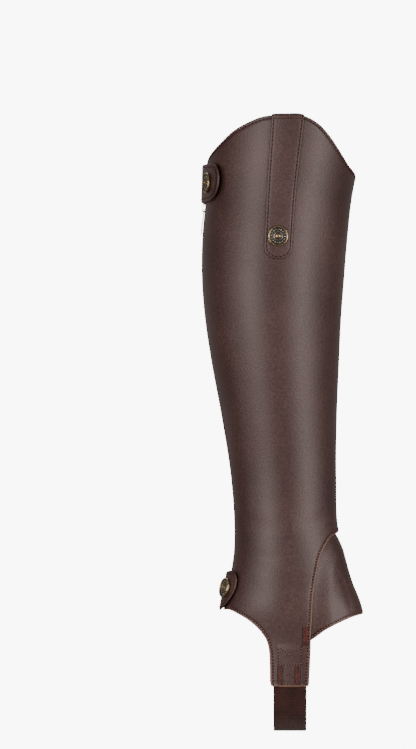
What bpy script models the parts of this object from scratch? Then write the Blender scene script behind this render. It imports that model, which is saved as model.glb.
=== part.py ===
"""One half chap for riding, filled out to the form it has on a leg, with no leg inside.

Sizes are in millimetres and become metres in the last step. +X is the toe, -Y the outer side of
the leg, +Z up, and the origin lies on the leg's axis at the widest level of the calf.

Every panel is cut in one pattern plane, in degrees round the leg from the back and height, and
laid on one skin. A lift is the distance from that skin, positive outwards.
"""

import math
from collections import namedtuple

import bmesh
import bpy
import numpy as np
from mathutils import Matrix, Vector
from mathutils.geometry import delaunay_2d_cdt

MM = 0.001

# Thickness of each material and the air between two pieces
LEATHER = 1.6
SUEDE = 1.2
FABRIC = 1.0
FACING = 1.0
STRAP = 1.2
TAPE = 0.8
TOP_TAB = 1.8
BOTTOM_TAB = 1.3
ELASTIC = 1.5
GAP = 0.3

# Pattern plane: millimetres round the leg for one degree, and the lattice of each panel
ROUND = 0.9
COLUMN = 7.5
TALL_ROW = 15.0
SHORT_ROW = 8.0
FLARE_TOP = -200.0
SQUEEZE = 0.5
EDGE_STEP = 6.5
FRONT_STEP = 4.0
MEETING = 0.5
STEEPEST = 0.9

# How near a lattice point may come to an edge or a guide, and a guide to an edge
EDGE_CLEAR = 2.6
GUIDE_CLEAR = 4.0
GUIDE_TO_EDGE = 1.6

# How far one panel runs under its neighbour, and the soft step beside that seam
UNDERLAP = 8.0
STEP_NEAR = 2.2
STEP_MIDDLE = 5.0
STEP_FAR = 9.0

# Half the gap between the two back edges that shows the zip
ZIP_GAP = 4.5

# Silhouette of the smooth leather: its back and front edge, half width and egg shape by height
Section = namedtuple("Section", "height back front half_width egg")
SECTIONS = [
    Section(-340, -41.5, 73.0, 28.5, 0.00),
    Section(-300, -41.5, 73.0, 32.5, 0.05),
    Section(-272, -40.4, 71.4, 36.0, 0.20),
    Section(-248, -35.6, 62.6, 36.5, 0.20),
    Section(-224, -32.2, 56.0, 36.5, 0.17),
    Section(-208, -31.9, 52.2, 36.8, 0.15),
    Section(-168, -34.4, 50.4, 39.0, 0.12),
    Section(-120, -41.6, 50.8, 44.5, 0.12),
    Section(-72, -50.4, 52.7, 50.5, 0.12),
    Section(-40, -55.2, 54.2, 53.8, 0.12),
    Section(-8, -57.8, 56.6, 55.5, 0.12),
    Section(24, -57.6, 59.2, 55.6, 0.12),
    Section(56, -54.9, 62.6, 55.2, 0.12),
    Section(84, -53.9, 67.6, 56.0, 0.11),
    Section(128, -51.0, 75.0, 58.0, 0.10),
]

# Points of an edge as seen from the side, in x and height
Edge = namedtuple("Edge", "x height")
ARCH = [
    Edge(-43.0, 101.1),
    Edge(-32.3, 110.8),
    Edge(-21.6, 116.7),
    Edge(-10.9, 121.0),
    Edge(8.0, 124.6),
    Edge(25.0, 121.6),
    Edge(37.1, 114.6),
    Edge(44.2, 107.0),
    Edge(51.4, 97.0),
    Edge(58.5, 86.0),
]
SUEDE_TOP = [
    Edge(34.6, 74.2),
    Edge(4.0, 80.0),
    Edge(-23.5, 84.0),
]
SUEDE_SEAM = [
    Edge(49.9, 71.0),
    Edge(44.6, 22.6),
    Edge(40.5, -35.1),
    Edge(36.6, -94.0),
    Edge(31.4, -135.9),
    Edge(22.2, -172.7),
    Edge(5.8, -207.9),
    Edge(-16.7, -233.3),
    Edge(-29.0, -244.0),
]
VAMP_SEAM = [
    Edge(43.6, -216.6),
    Edge(37.2, -229.0),
    Edge(33.2, -246.0),
    Edge(30.6, -266.0),
    Edge(29.6, -284.0),
    Edge(28.9, -305.0),
]
VAMP_HEM = [
    Edge(28.0, -296.6),
    Edge(43.4, -286.5),
    Edge(58.1, -279.6),
]
HEEL_HEM = [
    Edge(-36.5, -271.6),
    Edge(-29.1, -274.8),
    Edge(-18.8, -281.1),
    Edge(-11.8, -287.5),
    Edge(-6.1, -295.6),
    Edge(-3.8, -303.6),
    Edge(-2.9, -314.0),
]
BACK_TOP = 84.6
FRONT_CORNER = 74.6
FRONT_DIP = Edge(59.1, 70.7)
VAMP_APEX = -208.4
VAMP_FRONT = -275.4
VAMP_TAIL = -297.0
VAMP_SHOULDER = 6.0
VAMP_DROP = 2.4
HEEL = -272.0
SEAM_FOOT = -248.4
SUEDE_FOOT = -249.6
SUEDE_CORNER = 14.0
TAB_FOOT = -332.8
TAB_BACK = -2.6
TAB_FRONT = 27.2
TAB_CORNER = 1.6

# Facing band, lining
BAND = 6.5
LINING_FOOT = -197.0
LINING_HEAD = 76.0
LINING_BACK = 15.6
LINING_CLEAR = 6.0

# Decorative strap on the outer side: its side edges as seen from the side, and its round end
StrapRow = namedtuple("StrapRow", "height back front")
STRAP_ROWS = [
    StrapRow(18.0, -8.0, 13.7),
    StrapRow(57.6, -6.1, 16.4),
    StrapRow(124.0, -1.8, 23.9),
]
STRAP_END = 9.4
STRAP_INSIDE = 7.4
STRAP_COLUMNS = 10
STRAP_RISE = 0.9

# Closing tabs, by angle: lift of the inner face, middle height and half height
TabRow = namedtuple("TabRow", "angle lift middle half")
TabCut = namedtuple("TabCut", "round_start round_end")
TOP_TAB_ROWS = [
    TabRow(-47, 1.5, 68.8, 15.0),
    TabRow(-30, 1.5, 69.0, 15.0),
    TabRow(-15, 2.6, 69.1, 15.0),
    TabRow(-4, 3.3, 69.2, 14.9),
    TabRow(22, 3.4, 69.8, 14.6),
    TabRow(30, 4.3, 70.4, 14.2),
    TabRow(40, 6.3, 71.5, 13.4),
]
TOP_TAB_CUT = TabCut(7.0, 13.0)
BOTTOM_TAB_ROWS = [
    TabRow(-14, -1.7, -259.6, 8.0),
    TabRow(-6.9, -1.7, -259.2, 8.6),
    TabRow(0, 1.6, -258.6, 12.5),
    TabRow(6, 4.0, -258.2, 14.8),
    TabRow(11, 4.7, -257.6, 14.9),
    TabRow(17, 4.6, -256.6, 14.6),
    TabRow(24, 4.1, -254.2, 14.0),
    TabRow(32, 3.2, -251.5, 13.0),
]
BOTTOM_TAB_CUT = TabCut(0.0, 19.0)
TAB_LAYERS = 7

# Snap caps: a turned profile, radius and height over the leather below
Turn = namedtuple("Turn", "radius height")
CAP_RADIUS = 8.2
CAP_PROFILE = [
    Turn(CAP_RADIUS, 0.0),
    Turn(CAP_RADIUS, 1.2),
    Turn(7.7, 1.9),
    Turn(7.1, 1.9),
    Turn(6.6, 1.2),
    Turn(3.2, 1.2),
    Turn(2.4, 1.8),
    Turn(1.2, 2.1),
]
CAP_SIDES = 32
STUD_SIDES = 20
Snap = namedtuple("Snap", "angle height lift")
STRAP_SNAP = Edge(2.5, 26.8)
TOP_SNAP = Snap(22.0, 69.8, 3.4)
BOTTOM_SNAP = Snap(17.0, -255.8, 4.6)

# Zip: chain, tapes and slider along the back
CHAIN_HALF = 2.5
CHAIN_TOP = 0.3
CHAIN_BASE = -1.4
TAPE_WIDTH = 11.5
ZIP_FOOT = -266.0
TAPE_HEAD = 77.2
SLIDER = 51.5
DIP = 1.7
DIP_FROM = -222.0
DIP_OVER = 14.0
ZIP_ROW = 12.0

# Slider and pull, in the frame of the zip: across, along, out
Half = namedtuple("Half", "across along")
SLIDER_PLATE = [Half(2.9, -5.5), Half(3.4, -1.5), Half(4.3, 2.0), Half(4.0, 4.8), Half(2.4, 5.5)]
SLIDER_POST = [Half(0.8, 1.2), Half(0.8, 4.0)]
PLATE_LOW = 0.6
PLATE_TOP = 1.2
LOWER_PLATE = 0.7
SINK = 0.3
BRIDGE_LOW = -5.0
BRIDGE_HIGH = 2.0
BRIDGE_LEG = 1.0
BRIDGE_CORNER = 0.5
BRIDGE_HALF = 0.9
CROWN_LOW = 2.8
CROWN_TOP = 3.5
BAR_ALONG = -3.2
BAR_OUT = 2.05
PULL_LONG = 20.0
PULL_THICK = 0.8
PULL_END_OUT = 1.1
PULL_PLATE = [
    Half(0.9, -PULL_LONG),
    Half(2.4, -19.4),
    Half(3.3, -17.6),
    Half(3.3, -6.0),
    Half(2.6, -4.0),
    Half(2.6, 0.45),
]
PULL_WINDOW = [Half(1.3, -3.1), Half(1.3, -0.45)]
PULL_GRIP = [Half(0.5, -16.4), Half(1.1, -15.5), Half(1.1, -9.0), Half(0.5, -8.1)]
CUTTER = 2.0

# Stirrup elastic: a band from tab to tab under the foot
ELASTIC_BACK = 0.8
ELASTIC_FRONT = 25.2
ELASTIC_HEAD = -301.0
LOOP_FOOT = -368.6
LOOP_RADIUS = 21.0
ELASTIC_COLUMNS = 4
ELASTIC_EASE = 12.0


class Smooth:
    """A smooth curve through the rows of a table."""

    def __init__(self, at, values):
        self.at = np.array(at, dtype=float)
        self.values = np.array(values, dtype=float)
        steps = np.diff(self.at)
        rises = np.diff(self.values) / steps
        inner = (rises[:-1] * steps[1:] + rises[1:] * steps[:-1]) / (steps[:-1] + steps[1:])
        self.slopes = np.concatenate(([rises[0]], inner, [rises[-1]]))

    def __call__(self, place):
        place = np.clip(np.asarray(place, dtype=float), self.at[0], self.at[-1])
        row = np.clip(np.searchsorted(self.at, place) - 1, 0, len(self.at) - 2)
        step = self.at[row + 1] - self.at[row]
        part = (place - self.at[row]) / step
        start = self.values[row]
        end = self.values[row + 1]
        leave = self.slopes[row] * step
        arrive = self.slopes[row + 1] * step
        ease = part * part * (3 - 2 * part)
        bend = part * (1 - part)
        return start + (end - start) * ease + bend * (leave * (1 - part) - arrive * part)


HEIGHTS = [row.height for row in SECTIONS]
back_of = Smooth(HEIGHTS, [row.back + LEATHER for row in SECTIONS])
front_of = Smooth(HEIGHTS, [row.front - LEATHER for row in SECTIONS])
half_of = Smooth(HEIGHTS, [row.half_width - LEATHER for row in SECTIONS])
egg_of = Smooth(HEIGHTS, [row.egg for row in SECTIONS])


def skin(angle, height):
    """Points of the skin that all panels lie on."""
    turn = np.radians(angle)
    height = np.asarray(height, dtype=float)
    centre = (front_of(height) + back_of(height)) / 2
    reach = (front_of(height) - back_of(height)) / 2
    x = centre - reach * np.cos(turn)
    y = -half_of(height) * np.sin(turn) * (1 + egg_of(height) * np.cos(turn))
    return np.stack(np.broadcast_arrays(x, y, height), axis=-1)


def outward(angle, height):
    """Unit normals of the skin."""
    around = skin(angle + 0.5, height) - skin(angle - 0.5, height)
    up = skin(angle, height + 0.5) - skin(angle, height - 0.5)
    normal = np.cross(around, up)
    return normal / np.linalg.norm(normal, axis=-1, keepdims=True)


def lifted(angle, height, lift):
    """Points at a lift over the skin."""
    angle, height, lift = np.broadcast_arrays(
        np.asarray(angle, dtype=float), np.asarray(height, dtype=float), np.asarray(lift, dtype=float)
    )
    return skin(angle, height) + outward(angle, height) * lift[..., None]


def angle_at(x, height):
    """Angle on the outer side where the leather is seen at this x."""
    centre = (front_of(height) + back_of(height)) / 2
    reach = (front_of(height) - back_of(height)) / 2 + LEATHER
    return np.degrees(np.arccos(np.clip((centre - x) / reach, -1, 1)))


def angle_beside_back(across, height):
    """Angle whose point lies this far from the back line."""
    return np.degrees(np.arcsin(across / (half_of(height) * (1 + egg_of(height)))))


def outer_side(edge):
    return [(float(angle_at(row.x, row.height)), row.height) for row in edge]


def inner_side(edge):
    return [(360.0 - angle, height) for angle, height in outer_side(edge)]


# Top edge of the whole chap: height by angle, with the corner at the front
arch_height = Smooth(
    [0.0] + [angle for angle, _ in outer_side(ARCH)] + [180.0],
    [BACK_TOP] + [row.height for row in ARCH] + [FRONT_CORNER],
)
SEAM_HEAD = inner_side(SUEDE_SEAM)[0]
inner_rows = [(180.0, FRONT_CORNER)] + inner_side([FRONT_DIP]) + [SEAM_HEAD] + inner_side(SUEDE_TOP)
inner_height = Smooth(
    [angle for angle, _ in inner_rows] + [360.0],
    [height for _, height in inner_rows] + [BACK_TOP],
)


def top_edge(angle):
    return np.where(np.asarray(angle) < 180.0, arch_height(angle), inner_height(angle))


def below_top(angle, depth):
    """Height of a line that runs this deep inside the top edge."""
    slope = (top_edge(angle + 0.5) - top_edge(angle - 0.5)) / ROUND
    slope = np.clip(slope, -STEEPEST, STEEPEST)
    return top_edge(angle) - depth * np.sqrt(1 + slope * slope)


# Cutting in the pattern plane


def on_plane(points):
    return np.array([(angle * ROUND, height) for angle, height in points])


def flowing(points, step=EDGE_STEP):
    """The smooth edge through these points, with a point each step."""
    points = np.array(points, dtype=float)
    plane = on_plane(points)
    along = np.concatenate(([0], np.cumsum(np.linalg.norm(np.diff(plane, axis=0), axis=1))))
    places = np.linspace(0, along[-1], max(2, int(round(along[-1] / step)) + 1))
    return list(zip(Smooth(along, points[:, 0])(places), Smooth(along, points[:, 1])(places)))


def upright(across, low, high, side, step=TALL_ROW):
    """A back edge that keeps its distance from the back line."""
    heights = np.linspace(low, high, max(2, int(round(abs(high - low) / step)) + 1))
    way = 1 if side == 0 else -1
    return [(side + way * float(angle_beside_back(across, z)), float(z)) for z in heights]


def loop_of(*runs):
    """One closed outline from runs that meet end to end."""
    points = []
    for run in runs:
        for point in run:
            if not points or math.dist(on_plane([points[-1]])[0], on_plane([point])[0]) > MEETING:
                points.append((float(point[0]), float(point[1])))
    if math.dist(on_plane([points[0]])[0], on_plane([points[-1]])[0]) < MEETING:
        points.pop()
    return points


def distance_to(points, line, closed=False):
    """Distance in the pattern plane from each point to a line of points."""
    start = np.array(line, dtype=float)
    end = np.roll(start, -1, axis=0) if closed else start[1:]
    start = start if closed else start[:-1]
    run = end - start
    part = ((points[:, None] - start) * run).sum(-1) / np.maximum((run * run).sum(-1), 1e-9)
    near = start + np.clip(part, 0, 1)[..., None] * run
    return np.linalg.norm(points[:, None] - near, axis=-1).min(1)


def inside(points, line):
    """Whether each point lies inside a closed line."""
    x, y = points[:, 0, None], points[:, 1, None]
    start = np.array(line, dtype=float)
    end = np.roll(start, -1, axis=0)
    crosses = (start[:, 1] > y) != (end[:, 1] > y)
    rise = np.where(end[:, 1] == start[:, 1], 1e-9, end[:, 1] - start[:, 1])
    at = start[:, 0] + (y - start[:, 1]) * (end[:, 0] - start[:, 0]) / rise
    return (crosses & (x < at)).sum(1) % 2 == 1


def beside(line, distance):
    """Points that run along a line at a signed distance from it."""
    plane = on_plane(line)
    run = np.gradient(plane, axis=0)
    side = np.stack([run[:, 1], -run[:, 0]], axis=1)
    moved = plane + side / np.linalg.norm(side, axis=1, keepdims=True) * distance
    return [(u / ROUND, v) for u, v in moved]


def lattice(coarse):
    """Points over the whole pattern plane, with each column or every second one."""
    low = np.arange(-336.0, FLARE_TOP, SHORT_ROW)
    high = np.arange(FLARE_TOP, 130.0, TALL_ROW)
    angles = np.arange(0.0, 360.0, COLUMN * coarse)
    return [(angle, height) for height in np.concatenate([low, high]) for angle in angles]


def cut(outline, guides=(), coarse=1):
    """Triangles that fill an outline, through the lattice and along guide points."""
    line = on_plane(outline)
    flat = np.array([1.0, SQUEEZE])
    guide_points = on_plane([point for guide in guides for point in guide]) if guides else np.zeros((0, 2))
    spread = on_plane(lattice(coarse))
    keep = inside(spread, line)
    spread = spread[keep]
    clear = distance_to(spread * flat, line * flat, closed=True) > EDGE_CLEAR
    spread = spread[clear]
    if len(guide_points):
        keep = inside(guide_points, line)
        guide_points = guide_points[keep]
        guide_points = guide_points[distance_to(guide_points, line, closed=True) > GUIDE_TO_EDGE]
        near = np.linalg.norm(spread[:, None] - guide_points, axis=-1).min(1)
        spread = spread[near > GUIDE_CLEAR]
    points = np.concatenate([line, guide_points, spread]) * flat
    count = len(line)
    edges = [(i, (i + 1) % count) for i in range(count)]
    found = delaunay_2d_cdt([Vector(point) for point in points], edges, [], 1, 1e-4)
    places = np.array([tuple(point) for point in found[0]]) / flat
    faces = [tuple(face) for face in found[2]]
    return places[:, 0] / ROUND, places[:, 1], faces


# Closed solids


def add_object(name, points, faces, material):
    """One closed object in metres, turned so that its faces look outwards."""
    mesh = bpy.data.meshes.new(name)
    mesh.from_pydata([tuple(point * MM for point in place) for place in points], [], faces)
    shape = bmesh.new()
    shape.from_mesh(mesh)
    bmesh.ops.remove_doubles(shape, verts=shape.verts, dist=1e-7)
    if shape.calc_volume(signed=True) < 0:
        bmesh.ops.reverse_faces(shape, faces=shape.faces)
    shape.to_mesh(mesh)
    shape.free()
    mesh.materials.append(material)
    made = bpy.data.objects.new(name, mesh)
    bpy.context.collection.objects.link(made)
    return made


def paint(name, colour, roughness, metallic=0.0):
    """A plain material."""
    made = bpy.data.materials.new(name)
    made.use_nodes = True
    shader = made.node_tree.nodes["Principled BSDF"]
    shader.inputs["Base Color"].default_value = (*colour, 1.0)
    shader.inputs["Roughness"].default_value = roughness
    shader.inputs["Metallic"].default_value = metallic
    return made


def panel(name, outline, lifts, thickness, material, guides=(), coarse=1):
    """A wall of cloth or leather: an outline laid on the skin at its own lift and thickness."""
    angle, height, faces = cut(outline, guides, coarse)
    inner_lift = lifts(angle, height)
    outer = lifted(angle, height, inner_lift + thickness)
    inner = lifted(angle, height, inner_lift)
    count = len(angle)
    solid = []
    used = {}
    for face in faces:
        solid.append(face)
        solid.append(tuple(count + corner for corner in reversed(face)))
        for start, end in zip(face, face[1:] + face[:1]):
            used[(start, end)] = True
    for start, end in used:
        if (end, start) not in used:
            solid.append((end, start, count + start, count + end))
    return add_object(name, np.concatenate([outer, inner]), solid, material)


def slab(name, outer, inner, material):
    """A wall between two grids of points that face each other."""
    rows, columns = outer.shape[:2]
    count = rows * columns
    solid = []

    def at(row, column, side):
        return side * count + row * columns + column

    for row in range(rows - 1):
        for column in range(columns - 1):
            ring = [(row, column), (row, column + 1), (row + 1, column + 1), (row + 1, column)]
            solid.append([at(*place, 0) for place in ring])
            solid.append([at(*place, 1) for place in reversed(ring)])
    rim = [(0, column) for column in range(columns)]
    rim += [(row, columns - 1) for row in range(1, rows)]
    rim += [(rows - 1, column) for column in range(columns - 2, -1, -1)]
    rim += [(row, 0) for row in range(rows - 2, 0, -1)]
    for start, end in zip(rim, rim[1:] + rim[:1]):
        solid.append([at(*end, 0), at(*start, 0), at(*start, 1), at(*end, 1)])
    points = np.concatenate([outer.reshape(-1, 3), inner.reshape(-1, 3)])
    return add_object(name, points, solid, material)


def turned(name, profile, sides, frame, material):
    """A closed solid turned about the z axis of a frame."""
    points = [(0.0, 0.0, profile[0].height)]
    for row in profile:
        for side in range(sides):
            turn = math.tau * side / sides
            points.append((row.radius * math.cos(turn), row.radius * math.sin(turn), row.height))
    points.append((0.0, 0.0, profile[-1].height))
    last = len(points) - 1
    solid = []
    for side in range(sides):
        after = (side + 1) % sides
        solid.append((0, 1 + after, 1 + side))
        for ring in range(len(profile) - 1):
            low, high = 1 + ring * sides, 1 + (ring + 1) * sides
            solid.append((low + side, low + after, high + after, high + side))
        top = 1 + (len(profile) - 1) * sides
        solid.append((top + side, top + after, last))
    return add_object(name, [frame @ Vector(point) for point in points], solid, material)


def prism(name, outline, low, high, frame, material):
    """A closed outline in the first two axes of a frame, drawn from low to high along the third."""
    count = len(outline)
    points = [frame @ Vector((*point, low)) for point in outline]
    points += [frame @ Vector((*point, high)) for point in outline]
    solid = [tuple(reversed(range(count))), tuple(range(count, 2 * count))]
    for start in range(count):
        end = (start + 1) % count
        solid.append((start, end, count + end, count + start))
    return add_object(name, points, solid, material)


def combine(first, second, operation):
    """Union or difference of two solids, kept in the first."""
    tool = first.modifiers.new(operation, "BOOLEAN")
    tool.operation = operation
    tool.solver = "EXACT"
    tool.object = second
    graph = bpy.context.evaluated_depsgraph_get()
    mesh = bpy.data.meshes.new_from_object(first.evaluated_get(graph))
    first.modifiers.clear()
    first.data = mesh
    bpy.data.objects.remove(second)
    return first


def frame_on(place, around, up):
    """Axes across, along and out from a surface at a place, as one matrix."""
    out = Vector(np.cross(around, up)).normalized()
    across = Vector(up).cross(out).normalized()
    turn = Matrix((across, out.cross(across), out)).transposed().to_4x4()
    return Matrix.Translation(Vector(place)) @ turn


def frame_on_skin(angle, height, lift):
    around = skin(angle + 0.5, height) - skin(angle - 0.5, height)
    return frame_on(lifted(angle, height, lift), around, skin(angle, height + 1) - skin(angle, height - 1))


def frame_on_tab(rows, snap, over):
    """The frame of a snap that sits this far over a tab's inner face."""
    lift_of = Smooth([row.angle for row in rows], [row.lift for row in rows])

    def face(angle, height):
        return lifted(angle, height, lift_of(angle) + over)

    spread = CAP_RADIUS / 2
    turn = spread / ROUND / 2
    around = face(snap.angle + turn, snap.height) - face(snap.angle - turn, snap.height)
    up = face(snap.angle, snap.height + spread) - face(snap.angle, snap.height - spread)
    return frame_on(face(snap.angle, snap.height), around, up)


# Panels


def front_run(side):
    """The leather's front edge over the instep on one side, from the apex down to the tab."""
    points = [(180.0, VAMP_APEX)] + side(VAMP_SEAM) + side([Edge(TAB_FRONT + 0.5, TAB_FOOT + TAB_CORNER)])
    return flowing(points, FRONT_STEP)


def tab_foot(side):
    foot = side([Edge(TAB_FRONT - TAB_CORNER, TAB_FOOT), Edge(TAB_BACK + TAB_CORNER, TAB_FOOT)])
    return flowing(foot) + side([Edge(TAB_BACK, TAB_FOOT + TAB_CORNER)])


def heel_run(side, start):
    """The leather's lower edge on one side, from the tab up to the heel."""
    points = side([Edge(TAB_BACK, TAB_FOOT + TAB_CORNER)]) + side(HEEL_HEM[::-1]) + [start]
    return flowing(points)


outer_back = upright(ZIP_GAP, HEEL, BACK_TOP, 0)
leather_back = upright(ZIP_GAP, SEAM_FOOT, HEEL, 360, SHORT_ROW)
suede_seam = flowing(inner_side(SUEDE_SEAM) + [leather_back[0]])
top_run = [(angle, float(top_edge(angle))) for angle in np.linspace(outer_back[-1][0], 180, 29)]
top_run += [(angle, float(top_edge(angle))) for angle in np.linspace(180, SEAM_HEAD[0], 7)[1:]]
leather_outline = loop_of(
    top_run,
    suede_seam,
    leather_back,
    heel_run(inner_side, leather_back[-1])[::-1],
    tab_foot(inner_side)[::-1],
    front_run(inner_side)[::-1],
    front_run(outer_side),
    tab_foot(outer_side),
    heel_run(outer_side, outer_back[0]),
    outer_back,
)
leather_plane = on_plane(leather_outline)


def tuck(line, depth):
    """Lift of a panel that runs under the leather along a line and lies level away from it."""

    def lift(angle, height):
        points = np.stack([angle * ROUND, height], axis=-1)
        away = distance_to(points, on_plane(line))
        away = np.where(inside(points, leather_plane), 0.0, away)
        part = np.clip((away - STEP_NEAR) / (STEP_FAR - STEP_NEAR), 0, 1)
        return -depth * (1 - part * part * (3 - 2 * part))

    return lift


def level(lift):
    return lambda angle, height: np.full(len(angle), lift)


def suede_outline():
    under = beside(suede_seam, UNDERLAP)
    angles = np.linspace(under[0][0], 360 - outer_back[-1][0], 20)
    top = [(angle, float(top_edge(angle))) for angle in angles]
    side = upright(ZIP_GAP, BACK_TOP, SUEDE_FOOT, 360)
    foot = [point for point in under if point[1] < top_edge(point[0]) - 2]
    foot = [point for point in foot if point[0] < side[-1][0] - SUEDE_CORNER]
    return loop_of(top, side, foot[::-1])


def vamp_outline():
    apex = (180.0, VAMP_APEX + UNDERLAP)
    seam = [point for point in front_run(outer_side) if point[1] > VAMP_TAIL]
    outer_under = [(angle - UNDERLAP / ROUND, height) for angle, height in seam[3:]]
    shoulder = (seam[2][0] - VAMP_SHOULDER, seam[2][1] + VAMP_SHOULDER)
    hem = flowing(outer_side(VAMP_HEM) + [(180.0, VAMP_FRONT)])
    outer_foot = (outer_under[-1][0], hem[0][1] - VAMP_DROP)
    half = flowing([apex, shoulder] + outer_under[:1]) + outer_under[1:] + [outer_foot] + hem
    mirrored = [(360 - angle, height) for angle, height in half]
    return loop_of(half, mirrored[::-1])


def lining_outline():
    back = upright(LINING_BACK, LINING_FOOT, LINING_HEAD, 0, 2 * TALL_ROW)
    front = beside(suede_seam, UNDERLAP + 1.0)
    limit = front[0][0] - 1.0
    angles = np.linspace(back[-1][0], limit, 24)
    top = [(angle, float(below_top(angle, BAND + 0.5))) for angle in angles]
    low, high = LINING_FOOT + LINING_CLEAR, top[-1][1] - LINING_CLEAR
    front = [point for point in front if low < point[1] < high]
    foot = (front[-1][0] + 2.0, LINING_FOOT)
    return loop_of(top, front, [foot], flowing([foot, back[0]], 2 * EDGE_STEP), back)


def facing_outline():
    angles = np.linspace(outer_back[-1][0], SEAM_HEAD[0] - (UNDERLAP + 1.5) / ROUND, 31)
    top = [(angle, float(top_edge(angle))) for angle in angles]
    foot = [(angle, float(below_top(angle, BAND))) for angle in angles]
    return loop_of(top, foot[::-1])


# Narrow pieces made from grids


def strap_grids(lift, rise):
    """One face of the strap: up the outer side, over the top edge and down inside."""
    spread = np.sin(np.linspace(-math.pi / 2, math.pi / 2, STRAP_COLUMNS))
    back_edge = Smooth([row.height for row in STRAP_ROWS], [row.back for row in STRAP_ROWS])
    front_edge = Smooth([row.height for row in STRAP_ROWS], [row.front for row in STRAP_ROWS])

    def angles(height):
        middle = (back_edge(height) + front_edge(height)) / 2
        half = (front_edge(height) - back_edge(height)) / 2
        return angle_at(middle + half * spread, height)

    low = STRAP_ROWS[0].height - STRAP_END * np.sqrt(1 - spread * spread)
    head = top_edge(angles(np.full(STRAP_COLUMNS, 124.0)))
    rows = []
    for part in np.linspace(0, 1, 12):
        height = low + (head - low) * part
        rows.append(lifted(angles(height), height, lift))
    over = angles(head)
    middle = (LEATHER - FACING - GAP) / 2
    radius = lift - middle
    for turn in np.linspace(0, math.pi, 7)[1:-1]:
        crown = lifted(over, head, middle + radius * math.cos(turn))
        rows.append(crown + np.array([0, 0, rise * math.sin(turn)]))
    for depth in np.linspace(0, STRAP_INSIDE, 3):
        rows.append(lifted(over, head - depth, middle - radius))
    return np.array(rows)


def tab_grids(rows, cut_row, thickness):
    """Both faces of a closing tab that wraps round the back."""
    first, last = rows[0].angle, rows[-1].angle
    at = [row.angle for row in rows]
    lift_of = Smooth(at, [row.lift for row in rows])
    angles = [float(row.angle) for row in rows]
    angles += list(np.linspace(first, last, 15))
    ends = [(first, cut_row.round_start, 1), (last, cut_row.round_end, -1)]
    for end, length, way in ends:
        angles += [end + way * length * (1 - math.cos(turn)) for turn in (0.25, 0.5, 0.8, 1.15)]
    angles = np.array(sorted({round(angle, 1) for angle in angles}))
    angles = angles[np.concatenate(([True], np.diff(angles) > 0.35))]
    middle = Smooth(at, [row.middle for row in rows])(angles)
    half = Smooth(at, [row.half for row in rows])(angles)
    for end, length, way in ends:
        if length:
            away = np.clip(1 - (angles - end) * way / length, 0, 0.985)
            half = half * np.power(1 - away**2.4, 1 / 2.4)
    across = np.linspace(-1, 1, TAB_LAYERS)
    height = middle[:, None] + half[:, None] * across
    angle = np.repeat(angles[:, None], TAB_LAYERS, axis=1)
    lift = lift_of(angle)
    return lifted(angle, height, lift + thickness), lifted(angle, height, lift)


def dip(height):
    """How far the zip sinks to let the bottom tab pass over it."""
    part = np.clip((DIP_FROM - height) / DIP_OVER, 0, 1)
    return DIP * part * part * (3 - 2 * part)


def zip_grids(near, far, head, low, high, columns):
    """Both faces of a strip along the back, between two distances from the back line."""
    heights = np.linspace(ZIP_FOOT, head, int((head - ZIP_FOOT) / ZIP_ROW) + 1)[:, None]
    across = np.linspace(near, far, columns)[None, :]
    angle = angle_beside_back(across, heights)
    height = np.repeat(heights, columns, axis=1)
    return lifted(angle, height, high - dip(height)), lifted(angle, height, low - dip(height))


def elastic_grids():
    """Both faces of the stirrup band, from inside one tab round under the foot to the other."""
    across = np.linspace(ELASTIC_BACK, ELASTIC_FRONT, ELASTIC_COLUMNS)
    middle = (ELASTIC_BACK + ELASTIC_FRONT) / 2
    inside_lift = -GAP - ELASTIC / 2
    heights = np.linspace(ELASTIC_HEAD, TAB_FOOT - 1.0, 4)
    half = abs(float(lifted(angle_at(middle, TAB_FOOT), TAB_FOOT, inside_lift)[1]))
    stations = []
    for height in heights:
        place = lifted(angle_at(middle, height), height, inside_lift)
        stations.append((abs(float(place[1])), height))
    corner = LOOP_FOOT + ELASTIC / 2 + LOOP_RADIUS
    for turn in np.linspace(0, math.pi / 2, 8):
        y = half - LOOP_RADIUS * (1 - math.cos(turn))
        stations.append((y, corner - LOOP_RADIUS * math.sin(turn)))
    line = [(-y, z) for y, z in stations] + [(y, z) for y, z in stations[::-1]]
    line = np.array(line)
    run = np.gradient(line, axis=0)
    side = np.stack([run[:, 1], -run[:, 0]], axis=1)
    side /= np.linalg.norm(side, axis=1, keepdims=True)
    faces = []
    for away in (-ELASTIC / 2, ELASTIC / 2):
        rows = []
        for place, normal in zip(line, side):
            y, z = place + normal * away
            held = np.clip((place[1] - TAB_FOOT) / ELASTIC_EASE + 1, 0, 1)
            level_at = max(z, TAB_FOOT)
            curve = skin(angle_at(across, level_at), level_at)[:, 1]
            bow = (np.abs(curve) - np.abs(curve).max()) * held * np.sign(y)
            rows.append(np.stack([across, y + bow, np.full(ELASTIC_COLUMNS, z)], axis=1))
        faces.append(np.array(rows))
    return faces


# Zip slider and pull


def mirrored(half):
    """A closed outline from the half of it at +across."""
    return [(-point.across, point.along) for point in half[::-1]] + [tuple(point) for point in half]


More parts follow.
